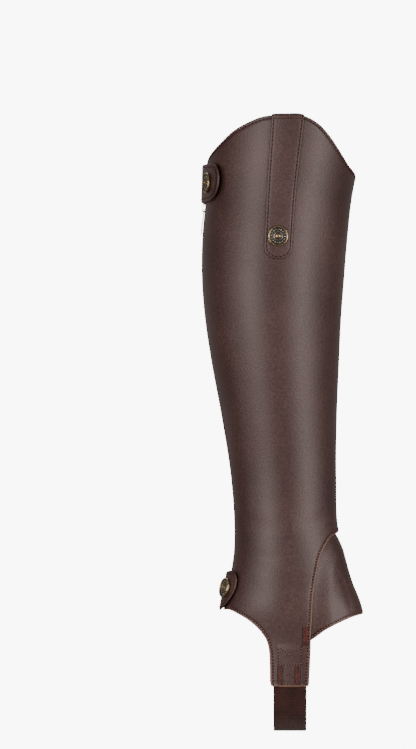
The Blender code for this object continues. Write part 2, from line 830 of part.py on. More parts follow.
def slider(material):
    """Two plates joined by a post, and the bridge that holds the pull."""
    frame = frame_on_skin(0.0, SLIDER, 0.0)
    plate = mirrored(SLIDER_PLATE)
    base = CHAIN_BASE - GAP
    body = prism("zip_slider", plate, PLATE_LOW, PLATE_TOP, frame, material)
    lower = prism("lower", plate, base - LOWER_PLATE, base, frame, material)
    post = prism("post", mirrored(SLIDER_POST), base - SINK, PLATE_TOP - SINK, frame, material)
    sideways = frame @ Matrix(((0, 0, 1, 0), (1, 0, 0, 0), (0, 1, 0, 0), (0, 0, 0, 1)))
    foot = PLATE_TOP - SINK
    arch = [
        (BRIDGE_LOW, foot),
        (BRIDGE_LOW, CROWN_TOP - BRIDGE_CORNER),
        (BRIDGE_LOW + BRIDGE_CORNER, CROWN_TOP),
        (BRIDGE_HIGH - BRIDGE_CORNER, CROWN_TOP),
        (BRIDGE_HIGH, CROWN_TOP - BRIDGE_CORNER),
        (BRIDGE_HIGH, foot),
        (BRIDGE_HIGH - BRIDGE_LEG, foot),
        (BRIDGE_HIGH - BRIDGE_LEG, CROWN_LOW),
        (BRIDGE_LOW + BRIDGE_LEG, CROWN_LOW),
        (BRIDGE_LOW + BRIDGE_LEG, foot),
    ]
    bridge = prism("bridge", arch, -BRIDGE_HALF, BRIDGE_HALF, sideways, material)
    for piece in (post, lower, bridge):
        body = combine(body, piece, "UNION")
    return body


def pull(material):
    """The pull tab, hung on the bridge, with a window round the bridge and a slot for grip."""
    frame = frame_on_skin(0.0, SLIDER, 0.0) @ Matrix.Translation((0, BAR_ALONG, BAR_OUT))
    lean = math.atan2(BAR_OUT - PULL_END_OUT, PULL_LONG)
    frame = frame @ Matrix.Rotation(-lean, 4, "X")
    half = PULL_THICK / 2
    body = prism("zip_pull", mirrored(PULL_PLATE), -half, half, frame, material)
    for hole in (PULL_WINDOW, PULL_GRIP):
        cutter = prism("cutter", mirrored(hole), -CUTTER, CUTTER, frame, material)
        body = combine(body, cutter, "DIFFERENCE")
    return body


def build():
    for old in list(bpy.data.objects):
        bpy.data.objects.remove(old)
    leather = paint("leather", (0.09, 0.055, 0.045), 0.5)
    suede = paint("suede", (0.05, 0.02, 0.012), 0.95)
    fabric = paint("fabric", (0.012, 0.012, 0.014), 0.9)
    rubber = paint("elastic", (0.03, 0.014, 0.012), 0.85)
    brass = paint("brass", (0.42, 0.28, 0.13), 0.4, 1.0)
    zip_cloth = paint("zip_cloth", (0.02, 0.012, 0.010), 0.85)

    panel("main_panel", leather_outline, level(0.0), LEATHER, leather)
    steps = (STEP_NEAR, STEP_MIDDLE, STEP_FAR)
    seam_guides = [beside(suede_seam, -away) for away in steps]
    panel("suede_panel", suede_outline(), tuck(suede_seam, SUEDE + GAP), SUEDE, suede, seam_guides)
    vamp_line = front_run(inner_side)[::-1] + front_run(outer_side)[1:]
    vamp_guides = [beside(vamp_line, -away) for away in steps]
    panel("vamp", vamp_outline(), tuck(vamp_line, LEATHER + GAP), LEATHER, leather, vamp_guides)
    panel("lining", lining_outline(), level(-GAP - FABRIC), FABRIC, fabric, coarse=2)
    panel("top_facing", facing_outline(), level(-GAP - FACING), FACING, leather)

    near = LEATHER + GAP
    outer_face = strap_grids(near + STRAP, STRAP_RISE + STRAP)
    slab("strap", outer_face, strap_grids(near, STRAP_RISE), leather)
    slab("top_tab", *tab_grids(TOP_TAB_ROWS, TOP_TAB_CUT, TOP_TAB), leather)
    slab("bottom_tab", *tab_grids(BOTTOM_TAB_ROWS, BOTTOM_TAB_CUT, BOTTOM_TAB), leather)
    slab("elastic", *elastic_grids(), rubber)

    tape_span = (CHAIN_HALF + GAP, CHAIN_HALF + GAP + TAPE_WIDTH, TAPE_HEAD, -GAP - TAPE, -GAP, 3)
    slab("zip_tape_outer", *zip_grids(*tape_span), zip_cloth)
    other_span = (-tape_span[0], -tape_span[1], *tape_span[2:])
    slab("zip_tape_inner", *zip_grids(*other_span), zip_cloth)
    chain_span = (-CHAIN_HALF, CHAIN_HALF, SLIDER + 0.6, CHAIN_BASE, CHAIN_TOP, 3)
    slab("zip_chain", *zip_grids(*chain_span), brass)
    slider(brass)
    pull(brass)

    strap_angle = float(angle_at(*STRAP_SNAP))
    caps = [
        ("strap_snap", frame_on_skin(strap_angle, STRAP_SNAP.height, near + STRAP + GAP)),
        ("top_snap", frame_on_tab(TOP_TAB_ROWS, TOP_SNAP, TOP_TAB + GAP)),
        ("bottom_snap", frame_on_tab(BOTTOM_TAB_ROWS, BOTTOM_SNAP, BOTTOM_TAB + GAP)),
    ]
    for name, frame in caps:
        turned(name, CAP_PROFILE, CAP_SIDES, frame, brass)
    studs = [("top_stud", TOP_SNAP, 5.0), ("bottom_stud", BOTTOM_SNAP, 4.0)]
    for name, snap, radius in studs:
        profile = [Turn(radius, 0.0), Turn(radius, snap.lift - near - 2 * GAP)]
        turned(name, profile, STUD_SIDES, frame_on_skin(snap.angle, snap.height, near), brass)


build()
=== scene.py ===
"""Looks of one half chap for riding, filled out to the form it has on a leg.

Work is in millimetres and becomes metres when a mesh is made. +X is the toe, -Y the outer side of
the leg and +Z up. Every panel is laid out in one pattern plane, whose points are an angle round the
leg from the back and a height, and then goes onto one skin. A lift is the distance from that skin.
"""

import logging
import math
from dataclasses import dataclass, field
from enum import Enum
from typing import Callable, Sequence

import bmesh
import bpy
import numpy as np
from mathutils import Matrix, Vector


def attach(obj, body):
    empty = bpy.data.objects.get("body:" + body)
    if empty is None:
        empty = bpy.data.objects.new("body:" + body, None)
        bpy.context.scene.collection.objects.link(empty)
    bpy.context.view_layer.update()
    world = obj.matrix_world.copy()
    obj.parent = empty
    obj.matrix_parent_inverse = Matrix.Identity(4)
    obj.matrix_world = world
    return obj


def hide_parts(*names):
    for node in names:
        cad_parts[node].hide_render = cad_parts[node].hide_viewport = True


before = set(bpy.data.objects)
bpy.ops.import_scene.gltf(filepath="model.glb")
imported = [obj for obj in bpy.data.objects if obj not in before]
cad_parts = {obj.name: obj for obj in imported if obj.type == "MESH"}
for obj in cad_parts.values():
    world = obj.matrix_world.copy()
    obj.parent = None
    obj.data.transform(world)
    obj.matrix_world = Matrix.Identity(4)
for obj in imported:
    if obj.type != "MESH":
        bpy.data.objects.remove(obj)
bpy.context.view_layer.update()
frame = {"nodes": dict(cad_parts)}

Array = np.ndarray
Curve = Callable[[Array], Array]
Pair = tuple[float, float]
Pairs = tuple[Pair, ...]
Even = tuple[tuple[str, float | str], ...]
Tree = bpy.types.NodeTree
LOG = logging.getLogger("half_chap")
MM = 0.001

# Millimetres round the leg for one degree of the pattern plane, and both scales of that plane
ROUND = 0.9
TO_MM = np.array([ROUND, 1.0])

# Thickness of each material, and the air between two pieces
LEATHER = 1.6
SUEDE = 1.2
FABRIC = 1.0
FACING = 1.0
STRAP = 1.2
TAPE = 0.8
TOP_TAB = 1.8
BOTTOM_TAB = 1.3
ELASTIC = 1.5
GAP = 0.3

# Distances from an edge at which a panel has a line of points
EDGE_OFFSETS = np.array([0.0, 0.5, 1.1, 1.8, 2.5, 3.4, 5.0])

# Edges that several panels share, as seen from the side, in x and height
ARCH = [
    (-43.0, 101.1), (-32.3, 110.8), (-21.6, 116.7), (-10.9, 121.0), (8.0, 122.5),
    (25.0, 121.6), (37.1, 114.6), (44.2, 107.0), (51.4, 97.0), (58.5, 86.0),
]
SUEDE_TOP = [(34.6, 74.2), (4.0, 80.0), (-23.5, 84.0)]
SUEDE_SEAM = [
    (49.9, 71.0), (44.6, 22.6), (40.5, -35.1), (36.6, -94.0), (31.4, -135.9),
    (22.2, -172.7), (5.8, -207.9), (-16.7, -233.3), (-29.0, -244.0),
]
VAMP_SEAM = [
    (43.6, -216.6), (37.2, -229.0), (33.2, -246.0), (30.6, -266.0), (29.6, -284.0), (28.9, -305.0),
]
VAMP_HEM = [(28.0, -296.6), (43.4, -286.5), (58.1, -279.6)]
HEEL_HEM = [
    (-36.5, -271.6), (-29.1, -274.8), (-18.8, -281.1), (-11.8, -287.5),
    (-6.1, -295.6), (-3.8, -303.6), (-2.9, -314.0),
]

# Heights of the ends of those edges, and the x and the height of the dip at the front
BACK_TOP = 84.6
FRONT_CORNER = 74.6
FRONT_DIP = (59.1, 70.7)
APEX = -208.4
VAMP_FRONT = -275.4
HEEL = -272.0
SEAM_FOOT = -248.4
SUEDE_FOOT = -249.6

# The stirrup tabs: foot, x of both sides, and radius of the corners
TAB_FOOT = -332.8
TAB_BACK = -2.6
TAB_FRONT = 27.2
TAB_CORNER = 1.6

# Half the opening at the back, and how panels lie under the leather along a seam
ZIP_GAP = 4.5
UNDERLAP = 8.0
STEP_NEAR = 2.2
STEP_FAR = 9.0

# Depth of the facing, and the foot and the back of the lining
BAND = 6.5
LINING_FOOT = -197.0
LINING_BACK = 15.6

# How deep inside an edge its row lies, and the middle and the width of the pressed groove there
ROW_INSET = 1.9
GROOVE_AT = 1.8
GROOVE_WIDTH = 0.75


class Side(Enum):
    """The side of the leg that a line lies on."""

    OUTER = "outer"
    INNER = "inner"


class Slot(Enum):
    """The record's material slots."""

    LEATHER = "leather"
    SUEDE = "suede"
    LINING = "lining"
    ELASTIC = "elastic"
    ZIP_CLOTH = "zip_cloth"
    BRASS = "brass"


class Body(Enum):
    """The bodies that pieces ride on."""

    CHAP = "chap"
    PULL = "zip_pull"


class Held(Enum):
    """What keeps a sheet in its place."""

    STRETCHED = "stretched"
    LAID = "laid"
    HUNG = "hung"


# Lines and grids of points


class Smooth:
    """A smooth curve through the rows of a table.

    Between two rows the value eases from one to the other as part² (3 - 2 part), plus
    part (1 - part) (leaving slope (1 - part) - arriving slope part). A row's slope is the mean of
    the rises on its two sides, each weighted by the length of the other.
    """

    def __init__(self, at: Sequence[float], values: Sequence[float]) -> None:
        """Works the slopes out.

        Args:
            at: Where the rows are, in rising order.
            values: The value of each row.
        """
        self.at = np.array(at, dtype=float)
        self.values = np.array(values, dtype=float)
        steps = np.diff(self.at)
        rises = np.diff(self.values) / steps
        inner = (rises[:-1] * steps[1:] + rises[1:] * steps[:-1]) / (steps[:-1] + steps[1:])
        self.slopes = np.concatenate(([rises[0]], inner, [rises[-1]]))

    def __call__(self, place: Array | float) -> Array:
        """Reads the curve, which keeps the values of its first and last row beyond them.

        Args:
            place: Places along the table.

        Returns:
            The value at each place.
        """
        place = np.clip(np.asarray(place, dtype=float), self.at[0], self.at[-1])
        row = np.clip(np.searchsorted(self.at, place) - 1, 0, len(self.at) - 2)
        step = self.at[row + 1] - self.at[row]
        part = (place - self.at[row]) / step
        leave = self.slopes[row] * step
        arrive = self.slopes[row + 1] * step
        start = self.values[row]
        ease = part * part * (3 - 2 * part)
        bend = part * (1 - part)
        return start + (self.values[row + 1] - start) * ease + bend * (leave * (1 - part) - arrive * part)


def unit(vectors: Array) -> Array:
    """The same vectors at length one."""
    return vectors / np.maximum(np.linalg.norm(vectors, axis=-1, keepdims=True), 1e-12)


def smoothstep(part: Array) -> Array:
    """A share from 0 to 1, eased at both ends."""
    part = np.clip(part, 0, 1)
    return part * part * (3 - 2 * part)


def bell(place: Array, middle: float, width: float, height: float) -> Array:
    """A soft ridge, or a trough where it is taken away: height exp(-((place - middle) / width)²)."""
    return height * np.exp(-(((place - middle) / width) ** 2))


def run_length(points: Array, axis: int = 0) -> Array:
    """Distance along a line of points, or along the rows or columns of a grid, at each point."""
    steps = np.linalg.norm(np.diff(points, axis=axis), axis=-1)
    return np.insert(np.cumsum(steps, axis=axis), 0, 0.0, axis=axis)


def at_lengths(line: Array, along: Array, spots: Array) -> Array:
    """Rows of a line at given distances along it, where along has the distance of each row."""
    return np.stack([np.interp(spots, along, values) for values in line.T], axis=1)


def straight(start: Array, end: Array) -> Curve:
    """A straight line, as a function that gives its points at shares of the way."""
    return lambda part: start + (end - start) * np.asarray(part)[..., None]


def spread(width: Array | float, count: int, start: bool = True, end: bool = True) -> Array:
    """Shares along lines of these widths, close together beside an edge and even between.

    Args:
        width: Length of each line in millimetres.
        count: Number of points on each line.
        start: Whether the line starts at an edge.
        end: Whether the line ends at an edge.

    Returns:
        Shares from 0 to 1, one row for each line.
    """
    width = np.asarray(width, dtype=float)[..., None]
    near = EDGE_OFFSETS * np.minimum(1.0, 0.3 * width / EDGE_OFFSETS[-1]) / width
    head = near if start else near[..., :1]
    tail = 1 - (near if end else near[..., :1])[..., ::-1]
    part = np.linspace(0, 1, count - head.shape[-1] - tail.shape[-1] + 2)[1:-1]
    middle = head[..., -1:] + (tail[..., :1] - head[..., -1:]) * part
    return np.concatenate([head, middle, tail], axis=-1)


def coons(left: Array, right: Array, low: Curve, high: Curve, across: Array, up: Array) -> Array:
    """Fills a patch between four lines of the plane.

    A point is the blend of left and right by the share across, plus the blend of low and high by
    the share up, less the blend of the four corners by both.

    Args:
        left: Points of the left line, one for each row.
        right: Points of the right line, one for each row.
        low: Gives points of the low line at shares across.
        high: Gives points of the high line at shares across.
        across: Shares across, rows by columns.
        up: Share up of each row.

    Returns:
        Points, rows by columns.
    """
    u = across[..., None]
    v = up[:, None, None]
    ends = np.array([0.0, 1.0])
    low_ends, high_ends = low(ends), high(ends)
    sides = (1 - u) * left[:, None] + u * right[:, None]
    levels = (1 - v) * low(across) + v * high(across)
    corners = (1 - v) * ((1 - u) * low_ends[0] + u * low_ends[1])
    corners = corners + v * ((1 - u) * high_ends[0] + u * high_ends[1])
    return sides + levels - corners


def quads(index: Array, flip: bool = False) -> Array:
    """Joins the points of a grid with four-sided faces.

    Args:
        index: Numbers of the points, rows by columns.
        flip: Whether the faces are turned round.

    Returns:
        The four points of each face.
    """
    a, b = index[:-1, :-1], index[:-1, 1:]
    c, d = index[1:, 1:], index[1:, :-1]
    ring = (a, d, c, b) if flip else (a, b, c, d)
    return np.stack([corner.ravel() for corner in ring], axis=1)


def grid_faces(rows: int, columns: int, flip: bool = False) -> Array:
    """Faces of a whole grid."""
    return quads(np.arange(rows * columns).reshape(rows, columns), flip)


def ring_faces(rings: int, sides: int, flip: bool = False) -> Array:
    """Faces between rings of points, closed all round."""
    index = np.arange(rings * sides).reshape(rings, sides)
    return quads(np.concatenate([index, index[:, :1]], axis=1), flip)


def repeated(faces: Array, size: int, count: int) -> Array:
    """Faces of many copies of a shape that has this number of points."""
    return (faces[None] + (np.arange(count) * size)[:, None, None]).reshape(-1, faces.shape[1])


def distance_to(points: Array, start: Array, end: Array, block: int = 1500) -> Array:
    """Measures how far points are from the nearest of many straight pieces.

    Args:
        points: The points.
        start: Where each straight piece starts.
        end: Where each straight piece ends.
        block: Number of points that are worked out at once.

    Returns:
        One distance for each point.
    """
    run = end - start
    size = np.maximum((run * run).sum(-1), 1e-12)
    found = []
    for first in range(0, len(points), block):
        some = points[first:first + block, None] - start
        part = np.clip((some * run).sum(-1) / size, 0, 1)
        found.append(np.linalg.norm(some - part[..., None] * run, axis=-1).min(1))
    return np.concatenate(found)


def rim_edges(faces: Array) -> Array:
    """Finds the edges that belong to one face only.

    Args:
        faces: The four points of each face.

    Returns:
        The two points of each such edge, with its face on the left.
    """
    start = faces.ravel()
    end = np.roll(faces, -1, axis=1).ravel()
    count = int(faces.max()) + 1
    lonely = ~np.isin(start * count + end, end * count + start)
    return np.stack([start[lonely], end[lonely]], axis=1)


def from_rim(points: Array, faces: Array) -> Array:
    """Distance of each point from the rim of its surface."""
    edges = rim_edges(faces)
    return distance_to(points, points[edges[:, 0]], points[edges[:, 1]])


def line_length(points: Array, axis: int) -> float:
    """Longest row or column of a grid of points, in metres."""
    return float(run_length(points, axis).max() * MM)


def flat_size_of(grid: Array) -> Pair:
    """Width and length that a grid of points takes up laid flat, in metres, to a millimetre."""
    return (round(line_length(grid, 1), 3), round(line_length(grid, 0), 3))


@dataclass
class Mesh:
    """Arrays of a mesh, in millimetres.

    The flat coordinates become its UV map and the distances to the edge an attribute. The paint is
    the number of the finish for each block of faces.
    """

    points: Array
    faces: list[Array]
    flat: Array | None = None
    edge: Array | None = None
    paint: list[int] = field(default_factory=list)

    def make(self, name: str) -> bpy.types.Object:
        """Makes a smooth object.

        Args:
            name: Name of the object and its mesh.

        Returns:
            The object, in the scene.
        """
        mesh = bpy.data.meshes.new(name)
        rows = [row for block in self.faces for row in block.tolist()]
        mesh.from_pydata((self.points * MM).tolist(), [], rows)
        mesh.polygons.foreach_set("use_smooth", np.ones(len(rows), dtype=bool))
        if self.flat is not None:
            corners = np.concatenate([block.ravel() for block in self.faces])
            layer = mesh.uv_layers.new(name="UVMap")
            layer.data.foreach_set("uv", (self.flat[corners] * MM).astype(np.float32).ravel())
        if self.edge is not None:
            layer = mesh.attributes.new("edge", "FLOAT", "POINT")
            layer.data.foreach_set("value", self.edge.astype(np.float32))
        if self.paint:
            slots = np.repeat(self.paint, [len(block) for block in self.faces])
            mesh.polygons.foreach_set("material_index", slots.astype(np.int32))
        mesh.update()
        made = bpy.data.objects.new(name, mesh)
        bpy.context.scene.collection.objects.link(made)
        return made


def wall(outer: Array, inner: Array, faces: Array, flat: Array, round_rim: float = 0.45) -> Mesh:
    """Closes the space between two surfaces that have the same faces, with a rounded rim.

    Across the rim a point goes from the outer to the inner surface and out by the wall's thickness
    times round_rim times sin(pi share).

    Args:
        outer: Points of the outer surface.
        inner: Points of the inner surface.
        faces: Faces of the outer surface.
        flat: The points in the flat piece.
        round_rim: How far the rim stands out, as a share of the thickness.

    Returns:
        The closed wall.
    """
    count = len(outer)
    edges = rim_edges(faces)
    around = unit(outer[edges[:, 1]] - outer[edges[:, 0]])
    normal = unit(outer - inner)
    away = np.zeros_like(outer)
    for corner in (0, 1):
        np.add.at(away, edges[:, corner], np.cross(around, normal[edges[:, corner]]))
    ring = np.unique(edges)
    place = np.zeros(count, dtype=int)
    place[ring] = np.arange(len(ring))
    thick = np.linalg.norm(outer - inner, axis=1)[ring, None]
    points = [outer, inner]
    chain = [edges]
    for row, share in enumerate((0.2, 0.5, 0.8)):
        bulge = unit(away[ring]) * thick * round_rim * math.sin(math.pi * share)
        points.append(outer[ring] * (1 - share) + inner[ring] * share + bulge)
        chain.append(2 * count + row * len(ring) + place[edges])
    chain.append(edges + count)
    rims = [np.stack([a[:, 1], a[:, 0], b[:, 0], b[:, 1]], axis=1) for a, b in zip(chain, chain[1:])]
    distance = from_rim(outer, faces)
    edge = np.concatenate([distance, distance, np.zeros(3 * len(ring))])
    flat = np.concatenate([flat, flat] + [flat[ring]] * 3)
    return Mesh(np.concatenate(points), [faces, faces[:, ::-1] + count, *rims], flat, edge)


# The form and the pattern


@dataclass(frozen=True)
class Section:
    """One level of the silhouette: its back and front edge, half width and egg shape."""

    height: float
    back: float
    front: float
    half_width: float
    egg: float


class LegForm:
    """The skin that all panels lie on.

    At a height the skin is an egg: x is its centre less reach times cos(angle), and y is minus the
    half width times sin(angle) times 1 + egg cos(angle). The angle is 0 at the back, 90 on the
    outer side and 180 in front. Sizes between two levels of the table follow a smooth curve.
    """

    LEVELS = (
        Section(-340, -41.5, 73.0, 28.5, 0.00),
        Section(-300, -41.5, 73.0, 32.5, 0.05),
        Section(-272, -40.4, 71.4, 36.0, 0.20),
        Section(-248, -35.6, 62.6, 36.5, 0.20),
        Section(-224, -32.2, 56.0, 36.5, 0.17),
        Section(-208, -31.9, 52.2, 36.8, 0.15),
        Section(-168, -34.4, 50.4, 39.0, 0.12),
        Section(-120, -41.6, 50.8, 44.5, 0.12),
        Section(-72, -50.4, 52.7, 50.5, 0.12),
        Section(-40, -55.2, 54.2, 53.8, 0.12),
        Section(-8, -57.8, 56.6, 55.5, 0.12),
        Section(24, -57.6, 59.2, 55.6, 0.12),
        Section(56, -54.9, 62.6, 55.2, 0.12),
        Section(84, -53.9, 67.6, 56.0, 0.11),
        Section(128, -51.0, 75.0, 58.0, 0.10),
    )
    STEEPEST = 0.9

    def __init__(self) -> None:
        """Prepares the curves of the table and the top edge."""
        heights = [row.height for row in self.LEVELS]
        self.back = Smooth(heights, [row.back + LEATHER for row in self.LEVELS])
        self.front = Smooth(heights, [row.front - LEATHER for row in self.LEVELS])
        self.half = Smooth(heights, [row.half_width - LEATHER for row in self.LEVELS])
        self.egg = Smooth(heights, [row.egg for row in self.LEVELS])
        arch = self.on_side(ARCH, Side.OUTER)
        self.arch = Smooth([0.0, *arch[:, 0], 180.0], [BACK_TOP, *arch[:, 1], FRONT_CORNER])
        inner = self.on_side([FRONT_DIP, SUEDE_SEAM[0], *SUEDE_TOP], Side.INNER)
        self.inner_top = Smooth([180.0, *inner[:, 0], 360.0], [FRONT_CORNER, *inner[:, 1], BACK_TOP])
        self.seam_head = float(inner[1, 0])
        self.corner = float(self.beside_back(ZIP_GAP, BACK_TOP))

    def centre_and_reach(self, height: Array | float) -> tuple[Array, Array]:
        """Middle of the skin and half its depth, along x."""
        front, back = self.front(height), self.back(height)
        return (front + back) / 2, (front - back) / 2

    def skin(self, angle: Array | float, height: Array | float) -> Array:
        """Works out points of the skin.

        Args:
            angle: Angles round the leg, in degrees.
            height: Heights of the points.

        Returns:
            The points, along a last axis of three.
        """
        turn = np.radians(np.asarray(angle, dtype=float))
        height = np.asarray(height, dtype=float)
        centre, reach = self.centre_and_reach(height)
        x = centre - reach * np.cos(turn)
        y = -self.half(height) * np.sin(turn) * (1 + self.egg(height) * np.cos(turn))
        return np.stack(np.broadcast_arrays(x, y, height), axis=-1)

    def outward(self, angle: Array | float, height: Array | float) -> Array:
        """Unit normals of the skin, from the points half a degree and half a millimetre away."""
        around = self.skin(angle + 0.5, height) - self.skin(angle - 0.5, height)
        up = self.skin(angle, height + 0.5) - self.skin(angle, height - 0.5)
        return unit(np.cross(around, up))

    def lifted(self, angle: Array | float, height: Array | float, lift: Array | float) -> Array:
        """Points at a lift over the skin, along a last axis of three."""
        angle, height, lift = np.broadcast_arrays(
            *(np.asarray(value, dtype=float) for value in (angle, height, lift))
        )
        return self.skin(angle, height) + self.outward(angle, height) * lift[..., None]

    def laid(self, place: Array, lift: Array | float) -> Array:
        """Points of the pattern plane, at a lift over the skin."""
        return self.lifted(place[..., 0], place[..., 1], lift)

    def angle_at(self, x: Array | float, height: Array | float) -> Array:
        """Angle on the outer side where the leather is seen at this x."""
        centre, reach = self.centre_and_reach(height)
        return np.degrees(np.arccos(np.clip((centre - x) / (reach + LEATHER), -1, 1)))

    def beside_back(self, across: Array | float, height: Array | float) -> Array:
        """Angle whose point lies this far from the back line."""
        return np.degrees(np.arcsin(across / (self.half(height) * (1 + self.egg(height)))))

    def on_side(self, points: Sequence[Pair], side: Side) -> Array:
        """Turns points as seen from the side into points of the pattern plane.

        Args:
            points: Rows of x and height.
            side: The side that they lie on.

        Returns:
            Rows of angle and height.
        """
        points = np.array(points, dtype=float)
        angle = self.angle_at(points[:, 0], points[:, 1])
        return np.stack([angle if side is Side.OUTER else 360 - angle, points[:, 1]], axis=1)

    def top(self, angle: Array | float) -> Array:
        """Height of the top edge."""
        return np.where(np.asarray(angle) < 180.0, self.arch(angle), self.inner_top(angle))

    def below_top(self, angle: Array | float, depth: float) -> Array:
        """Height of a line that runs this deep inside the top edge."""
        slope = (self.top(angle + 0.5) - self.top(angle - 0.5)) / ROUND
        return self.top(angle) - depth * np.sqrt(1 + np.clip(slope, -self.STEEPEST, self.STEEPEST) ** 2)

    def along_top(self, start: float, end: float, depth: float = 0.0) -> Curve:
        """A line along the top edge, as a function that gives its points at shares of the way.

        Args:
            start: Angle where the line starts.
            end: Angle where it ends.
            depth: How deep it runs inside the edge.

        Returns:
            The function.
        """

        def place(part: Array) -> Array:
            """Points of the plane at these shares."""
            angle = start + (end - start) * np.asarray(part)
            return np.stack([angle, self.below_top(angle, depth)], axis=-1)

        return place


class PlaneLine:
    """A smooth line through points of the pattern plane, measured along itself."""

    DENSE = np.linspace(0, 1, 600)

    def __init__(self, points: Array) -> None:
        """Takes points as rows of angle and height."""
        points = np.asarray(points, dtype=float)
        along = run_length(points * TO_MM)
        self.length = float(along[-1])
        self.angle = Smooth(along, points[:, 0])
        self.height = Smooth(along, points[:, 1])

    def share(self, part: Array) -> Array:
        """Points at these shares of the length."""
        return np.stack([self.angle(part * self.length), self.height(part * self.length)], axis=-1)

    def angle_at_height(self, height: Array) -> Array:
        """Angle where the line passes each height."""
        dense = self.share(self.DENSE)
        order = np.argsort(dense[:, 1])
        return np.interp(height, dense[order, 1], dense[order, 0])

    def at_heights(self, height: Array) -> Array:
        """Points of the line at these heights."""
        return np.stack([self.angle_at_height(height), height], axis=-1)


class Pattern:
    """The cutting lines that panels share, all in the pattern plane."""

    def __init__(self, form: LegForm) -> None:
        """Lays the lines out on the form."""
        self.form = form
        foot = self.back_edge(np.array([SEAM_FOOT]), Side.INNER)
        self.seam = PlaneLine(np.concatenate([form.on_side(SUEDE_SEAM, Side.INNER), foot]))
        self.front = {}
        self.heel = {}
        for side in Side:
            corners = form.on_side([(TAB_FRONT + 0.5, TAB_FOOT + TAB_CORNER)], side)
            apex = np.array([[180.0, APEX]])
            self.front[side] = PlaneLine(np.concatenate([apex, form.on_side(VAMP_SEAM, side), corners]))
            start = self.back_edge(np.array([HEEL]), side)
            hem = form.on_side([*HEEL_HEM, (TAB_BACK, TAB_FOOT + TAB_CORNER)], side)
            self.heel[side] = PlaneLine(np.concatenate([start, hem]))

    def back_edge(self, heights: Array, side: Side, across: float = ZIP_GAP) -> Array:
        """Points of a back edge, which keeps its distance from the back line."""
        turn = self.form.beside_back(across, heights)
        return np.stack([turn if side is Side.OUTER else 360 - turn, heights], axis=-1)

    def beside(self, line: Array, distance: float) -> Array:
        """Moves a line of points sideways in the plane.

        Args:
            line: Rows of angle and height.
            distance: How far, to the right of the line's direction if positive.

        Returns:
            Rows of angle and height.
        """
        plane = line * TO_MM
        run = unit(np.gradient(plane, axis=0))
        return (plane + np.stack([run[:, 1], -run[:, 0]], axis=1) * distance) / TO_MM


# Finishes


def colour(code: str) -> tuple[float, float, float, float]:
    """Turns an sRGB hex value into a linear colour.

    Args:
        code: The hex value, with its hash sign.

    Returns:
        Red, green, blue and an alpha of 1.
    """
    parts = np.array([int(code[place:place + 2], 16) for place in (1, 3, 5)]) / 255
    linear = np.where(parts <= 0.04045, parts / 12.92, ((parts + 0.055) / 1.055) ** 2.4)
    return (float(linear[0]), float(linear[1]), float(linear[2]), 1.0)


def spacing(size: float) -> float:
    """Texture scale on coordinates in metres for a pattern of this size in millimetres."""
    return 1.0 / (size * MM)


def feed(tree: Tree, into: bpy.types.NodeSocket, source: object) -> None:
    """Gives an input what it reads.

    Args:
        tree: The tree that both are in.
        into: The input.
        source: An output, a node for its first output, or a value.
    """
    if isinstance(source, bpy.types.Node):
        source = source.outputs[0]
    if isinstance(source, bpy.types.NodeSocket):
        tree.links.new(source, into)
    else:
        into.default_value = source


def node(
    tree: Tree, kind: str, inputs: dict | None = None, stops: dict[float, str] | None = None,
    **settings: object
) -> bpy.types.Node:
    """Adds one node.

    Args:
        tree: The tree that it goes into.
        kind: Name of the node's type, without its first word.
        inputs: What its inputs read, by name or number.
        stops: Stops of its colour ramp, place to hex value.
        settings: The node's own settings.

    Returns:
        The new node.
    """
    made = tree.nodes.new("ShaderNode" + kind)
    for name, value in settings.items():
        setattr(made, name, value)
    for number, (place, code) in enumerate((stops or {}).items()):
        elements = made.color_ramp.elements
        stop = elements[number] if number < 2 else elements.new(place)
        stop.position = place
        stop.color = colour(code)
    for name, source in (inputs or {}).items():
        feed(tree, made.inputs[name], source)
    return made


@dataclass(frozen=True)
class Finish:
    """A finish: its name, the roughness of its shader and its values that are even all over."""

    name: str = "finish"
    roughness: float = 0.5
    even: Even = ()

    def material(self) -> bpy.types.Material:
        """Makes the material, or gives the one that was made before."""
        made = bpy.data.materials.get(self.name)
        if made:
            return made
        made = bpy.data.materials.new(self.name)
        made.use_nodes = True
        tree = made.node_tree
        shader = tree.nodes["Principled BSDF"]
        shader.inputs["Roughness"].default_value = self.roughness
        for name, value in self.even:
            shader.inputs[name].default_value = colour(value) if isinstance(value, str) else value
        for name, source in self.dress(tree).items():
            feed(tree, shader.inputs[name], source)
        return made

    def dress(self, tree: Tree) -> dict[str, object]:
        """Adds the finish's own nodes and gives what the shader's inputs read, by name."""
        raise NotImplementedError


